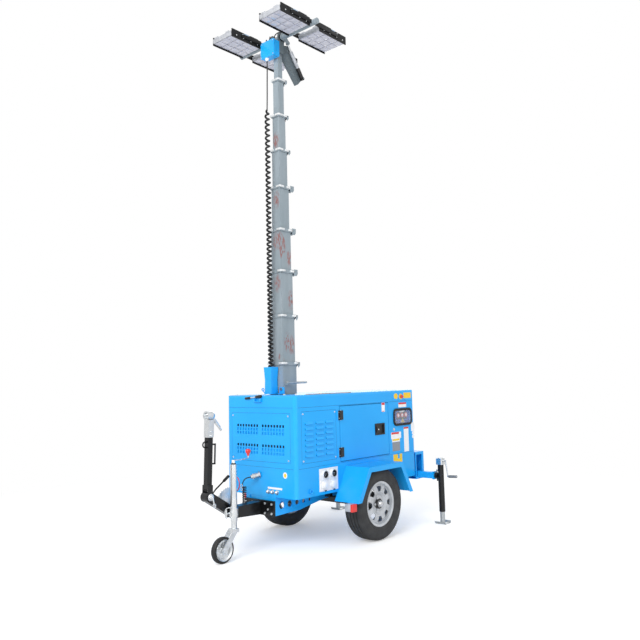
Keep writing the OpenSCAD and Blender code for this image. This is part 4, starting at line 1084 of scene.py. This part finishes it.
def collar_fittings():
    """Angle pads at the corners of every collar, their screws, and a wheel in its rear lugs."""
    for k, top in enumerate(COLLAR_TOPS):
        half = (166 - 14 * k) / 2
        body = BODIES[k]
        pads = []
        for sx in (-1, 1):
            for sy in (-1, 1):
                inner, outer, back = half, half + 17, half - 36
                angle = [(back, inner), (inner, inner), (inner, back), (outer, back), (outer, outer), (back, outer)]
                pads.append(plate([(MAST_X + sx * u, sy * v) for u, v in angle], "z", top - 22, top - 4, 1.5))
        for sy in (-1, 1):
            pads.append(screw((MAST_X + half * 0.4, sy * (half + 8), top - 15), (0, sy, 0), 9, 3, 6))
        pads.append(lathe([(6.2, -5), (13, -5), (11, 0), (13, 5), (6.2, 5)], (MAST_X - half - 22, 0, top - 26), (0, 1, 0), 20))
        finish(join(pads), f"collar_pads_{k + 1}", PAD, body)
        big = 2 <= k <= 4
        back, rise = MAST_X - half - (52 if big else 30), 8 if big else -4
        cheeks = [plate([(MAST_X - half - 8, top + rise), (back, top + rise), (back, top - 30), (back + 14, top - 50),
                         (MAST_X - half - 8, top - 50)], "y", y, y + 5, 0.8) for y in (half - 20, half + 12)]
        finish(join(cheeks), f"rope_cheeks_{k + 1}", MAST, body)
        roller = lathe([(5, -12), (17, -12), (13, 0), (17, 12), (5, 12)], ((back + MAST_X - half) / 2, half - 1, top - 20),
                       (0, 1, 0), 24)
        finish(roller, f"rope_roller_{k + 1}", RUBBER, body)
        if k:
            # A pale strip filling each upper tube's front-left corner is a painted highlight on its rounded edge.
            x, y = MAST_X + half - 5.2, half - 5.2
            edge = rod((x, y, COLLAR_TOPS[k - 1] + 2), (x, y, top - 30), 9.6, 12)
            finish(edge, f"tube_corner_highlight_{k + 1}", CORNER_HIGHLIGHT_PAINT, body)


# Pale enamel for the painted highlight down the tubes' rounded corners.
CORNER_HIGHLIGHT_PAINT = powder_coat("painted_highlight_enamel", "#E2E9ED", "#D2DADF", 0.35, 0.1)
PAD = plated("nickelled_pad", "#EDF0F2", 0.35, 40, metallic=0.5)
collar_fittings()

# %% Turning lock
def turning_lock():
    """The turning handle's flat root, and the lock lug with its sleeve beside the cable chute."""
    root = block((578, 82.4, 1356), (602, 98, 1380), 3)
    grip = lathe([(0, 0), (9, 0), (9, 118), (7, 122), (0, 122)], (590, 196, 1369), (0, 118, 2), 20, False)
    finish(join([root, grip]), "turning_handle_root", GALVANISED, "mast_base")
    lug = plate(rounded((44, 1276.5), (100, 1332), 10), "x", 633.5, 645, 1)
    foot = block((630, 42, 1276.3), (665, 102, 1282), 1)
    finish(join([lug, foot]), "lock_lug", BLUE, "mast_base")
    sleeve = lathe([(7, 0), (12, 0), (12, 16), (7, 16)], (640, 72, 1316), (1, 0, 0), 20)
    finish(sleeve, "lock_sleeve", GREY_PLASTIC, "mast_base")


turning_lock()

# %% [markdown]
# ## Roof
# The winding handle is stowed across the roof's front edge on a small bracket. Domed screws and a lifting eye stand on
# the roof, and a strip of sealing foam shows along its left edge.

# %% Roof fittings
def roof_fittings():
    """The stowed handle, its bracket, the eye and the roof's screws."""
    start, end = Vector((846, -170, 1243)), Vector((846, 32, 1262))
    along = end - start
    grips = [lathe([(0, 0), (8, 0), (10, 4), (10, 60), (8, 64), (0, 64)], start, along, 20, False),
             lathe([(0, 0), (9, 0), (13, 5), (13, 62), (10, 68), (0, 68)], start + along * 0.66, along, 20, False)]
    finish(join(grips), "stowed_handle_grips", ABS, "trailer")
    bar = rod(start + along * 0.28, start + along * 0.7, 11, 16)
    domes = [lathe([(0, 9), (9, 7), (13, 0), (0, 0)], (x, y, 1269.5), (0, 0, 1), 20, False)
             for x, y in ((800, -24), (800, 262), (700, 300), (480, 372), (800, -330))]
    finish(join([bar] + domes), "handle_bar_and_roof_screws", ZINC, "trailer")
    shelf = block((836.5, -56, 1214), (858, 30, 1220), 1.5)
    cheeks = [block((836.5, y, 1218), (856, y + 10, 1242), 1.5) for y in (-54, 18)]
    stem = hose([(575, -212, 1268), (575, -216, 1285), (575, -230, 1296)], 9, 8)
    eye = ring((575, -236, 1312), (1, 0.2, 0), 22, 9, 24)
    finish(join([shelf] + cheeks + [stem, eye]), "handle_bracket_and_eye", BLUE, "trailer", 50)
    foam = hose([(690, 402, 1268.5), (470, 402, 1268.5), (250, 402, 1268.5), (110, 402, 1268.5)], 12, 8, False)
    finish(foam, "roof_edge_foam", FOAM, "trailer")


FOAM = moulded("sealing_foam", "#B59C88", 0.8, 12, 0.1, "#7C6655")
roof_fittings()

# %% [markdown]
# ## Head
# Each floodlight is a tray of twelve lens modules in a black frame with a bright end wall. Its driver is a finned box on
# top, seen through the notch in the side plates. The box on the mast's top joins their leads to the curly cable.

# %% Lens modules
LAMP_XS = (768, 278)
LAMP_YS = (-315, 315)
LAMP_Z = 4539


def lamps(pattern):
    """Copies of a piece made round the mast's axis, one in each floodlight."""
    return copies(pattern, [shift(x - MAST_X, y, 0) for x in LAMP_XS for y in LAMP_YS])


def lens_trays():
    """Twelve crowned modules on each tray, and the dark grey tray between them."""
    pads = []
    for i in range(4):
        for j in range(3):
            x, y = MAST_X - 174 + i * 88, -123 + j * 83
            pads.append(block((x, y, LAMP_Z - 28), (x + 82, y + 78, LAMP_Z - 19), 5, 3))
    modules = lamps(join(pads))
    finish(modules, "lens_modules", LENS, "lamp_bar")
    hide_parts("lamp_lenses")
    tray = lamps(block((MAST_X - 178, -126, LAMP_Z - 22), (MAST_X + 178, 126, LAMP_Z - 14.2), 0.6))
    finish(tray, "lens_trays", TRAY, "lamp_bar")


TRAY = moulded("tray_lacquer", "#A4A5AF", 0.4, 10, 0.03, "#989AA5")
lens_trays()

# %% Floodlight fittings
def floodlight_fittings():
    """End walls, drivers and the side plates' screws."""
    wall = plate([(MAST_X + 176, LAMP_Z - 26), (MAST_X + 182, LAMP_Z - 26), (MAST_X + 190, LAMP_Z + 14),
                  (MAST_X + 168, LAMP_Z + 14)], "y", -126, 126, 1)
    bumps = [block((MAST_X + 176, y, LAMP_Z + 6), (MAST_X + 191, y + 46, LAMP_Z + 24), 2) for y in (-100, 54)]
    finish(lamps(join([wall] + bumps)), "floodlight_end_walls", SILVER_GREY, "lamp_bar")
    driver = block((MAST_X - 27, -139, LAMP_Z + 21), (MAST_X + 27, 139, LAMP_Z + 40), 5, 3)
    finish(lamps(driver), "floodlight_drivers", DRIVER, "lamp_bar")
    screws = []
    for side in (-1, 1):
        screws += [screw((MAST_X + x, side * 135, LAMP_Z - 10), (0, side, 0), 13, 3, 12) for x in (-132, -50, 42, 126)]
        screws.append(screw((MAST_X - 58, side * 135, LAMP_Z + 24), (0, side, 0), 13, 3, 12))
    finish(lamps(join(screws)), "floodlight_screws", ZINC, "lamp_bar")
    straps = [(216, 4528.5), (832, 4528.5), (832, 4552), (800, 4566), (744, 4566), (730, 4578), (640, 4578),
              (606, 4564), (494, 4564), (460, 4578), (316, 4578), (302, 4566), (246, 4566), (216, 4552)]
    plates = [plate(straps, "y", y - 0.6, y + 6.6, 1) for y in (173.7, 450.3, -180, -456.6)]
    finish(join(plates), "floodlight_straps", ANODISED, "lamp_bar")


DRIVER = plated("blue_grey_aluminium", "#A9BFD8", 0.35, 18, metallic=0.5)
floodlight_fittings()

# %% Junction box and tilt gear
def junction_fittings():
    """Lid, screws and pale gland of the junction box."""
    lid = plate(rounded((-118, 4350), (58, 4506), 11), "x", 640, 656, 2)
    finish(lid, "junction_lid", BLUE, "mast_tube_9")
    screws = [screw((656, y, z), (1, 0, 0), 12, 3, 12) for y in (-104, 44) for z in (4364, 4492)]
    finish(join(screws), "junction_screws", ZINC, "mast_tube_9")
    gland = lathe([(7, -2), (12, 0), (16, 6), (16, 18), (19, 20), (19, 26), (0, 26), (0, -2)], (635, -55, 4327), (0, 0, 1), 24)
    finish(gland, "pale_gland", SOCKET_WHITE, "mast_tube_9")


def tilt_gear():
    """Dark discs on the two cheeks, the actuator's bright tube and the cables that loop over the head."""
    discs = []
    for side in (-1, 1):
        discs.append(lathe([(0, 0), (31, 0), (31, 4), (26, 6), (14, 6), (12, 9), (0, 9)], (MAST_X, side * 52, 4545),
                           (0, side, 0), 36, False))
    finish(join(discs), "tilt_discs", BLACK, "mast_tube_9")
    low, eye = Vector((292, 62, 4227)), Vector((484, 62, 4509))
    along = (eye - low).normalized()
    finish(join([rod(low + along * 104, low + along * 262.5, 32.5, 28), rod(low + along * 176, low + along * 196, 35, 28)]),
           "actuator_tube", SILVER_GREY, "actuator_body")
    loops = [hose([(600, -40, 4504), (604, -44, 4548), (590, -60, 4580), (562, -92, 4586), (548, -118, 4572), (550, -140, 4560)], 9, 8),
             hose([(600, 10, 4504), (602, 14, 4552), (588, 40, 4582), (562, 76, 4587), (550, 108, 4574), (550, 140, 4562)], 9, 8),
             hose([(600, -90, 4504), (602, -96, 4536), (590, -108, 4566), (566, -128, 4572), (552, -150, 4562)], 9, 8)]
    finish(join(loops), "head_cables", SHEATH, "mast_tube_9", 60)


junction_fittings()
tilt_gear()

# %% [markdown]
# ## Floor and light
# A pale floor and soft lamps, as in a product picture. Most of the light comes from ahead, so the front panel is the
# brightest side and the left side is a step deeper.

# %% Floor and light
def studio():
    """Floor, backdrop colour and lamps."""
    bpy.ops.object.select_all(action="DESELECT")
    bpy.ops.mesh.primitive_plane_add(size=60, location=(0, 0, 0))
    floor = bpy.context.object
    floor.name = "floor"
    material, tree, shader, place = begin("pale_floor", "#F4F4F4", 0.9)
    light = add(tree, "LightPath")
    seen = add(tree, "Emission", {"Color": srgb("#FFFFFF"), "Strength": 0.3})
    both = add(tree, "AddShader", {0: shader.outputs[0], 1: seen.outputs[0]})
    far = add(tree, "VectorMath", {0: place}, operation="LENGTH")
    share = add(tree, "MapRange", {"Value": far.outputs["Value"], "From Min": 2.2, "From Max": 5.0})
    white = add(tree, "Emission", {"Color": srgb("#FFFFFF"), "Strength": 1.0})
    fading = add(tree, "MixShader", {0: share.outputs[0], 1: both.outputs[0], 2: white.outputs[0]})
    pick = add(tree, "MixShader", {0: light.outputs["Is Camera Ray"], 1: shader.outputs[0], 2: fading.outputs[0]})
    tree.links.new(pick.outputs[0], tree.nodes["Material Output"].inputs["Surface"])
    floor.data.materials.append(material)
    world = bpy.data.worlds.new("studio")
    bpy.context.scene.world = world
    world.use_nodes = True
    tree = world.node_tree
    light = add(tree, "LightPath")
    plain = add(tree, "Math", {0: light.outputs["Is Camera Ray"], 1: light.outputs["Is Glossy Ray"]},
                operation="MAXIMUM")
    shown = add(tree, "Math", {0: plain.outputs[0], 1: light.outputs["Is Transmission Ray"]}, operation="MAXIMUM")
    strength = add(tree, "MapRange", {"Value": shown.outputs[0], "To Min": 0.62, "To Max": 1.0})
    background = tree.nodes["Background"]
    background.inputs["Color"].default_value = srgb("#FFFFFF")
    tree.links.new(strength.outputs[0], background.inputs["Strength"])
    for name, energy, size, place in [("key", 720, 5.0, (9000, 3500, 6500)), ("fill", 120, 6.0, (1000, 9000, 3500)),
                                      ("back", 160, 5.0, (-7000, -5000, 5000))]:
        lamp = bpy.data.lights.new(name, "AREA")
        lamp.energy = energy
        lamp.size = size
        obj = bpy.data.objects.new(name, lamp)
        bpy.context.scene.collection.objects.link(obj)
        obj.location = at(*place)
        obj.rotation_euler = (at(300, 0, 1300) - obj.location).to_track_quat("-Z", "Y").to_euler()


studio()
bpy.context.scene.view_settings.view_transform = "Standard"
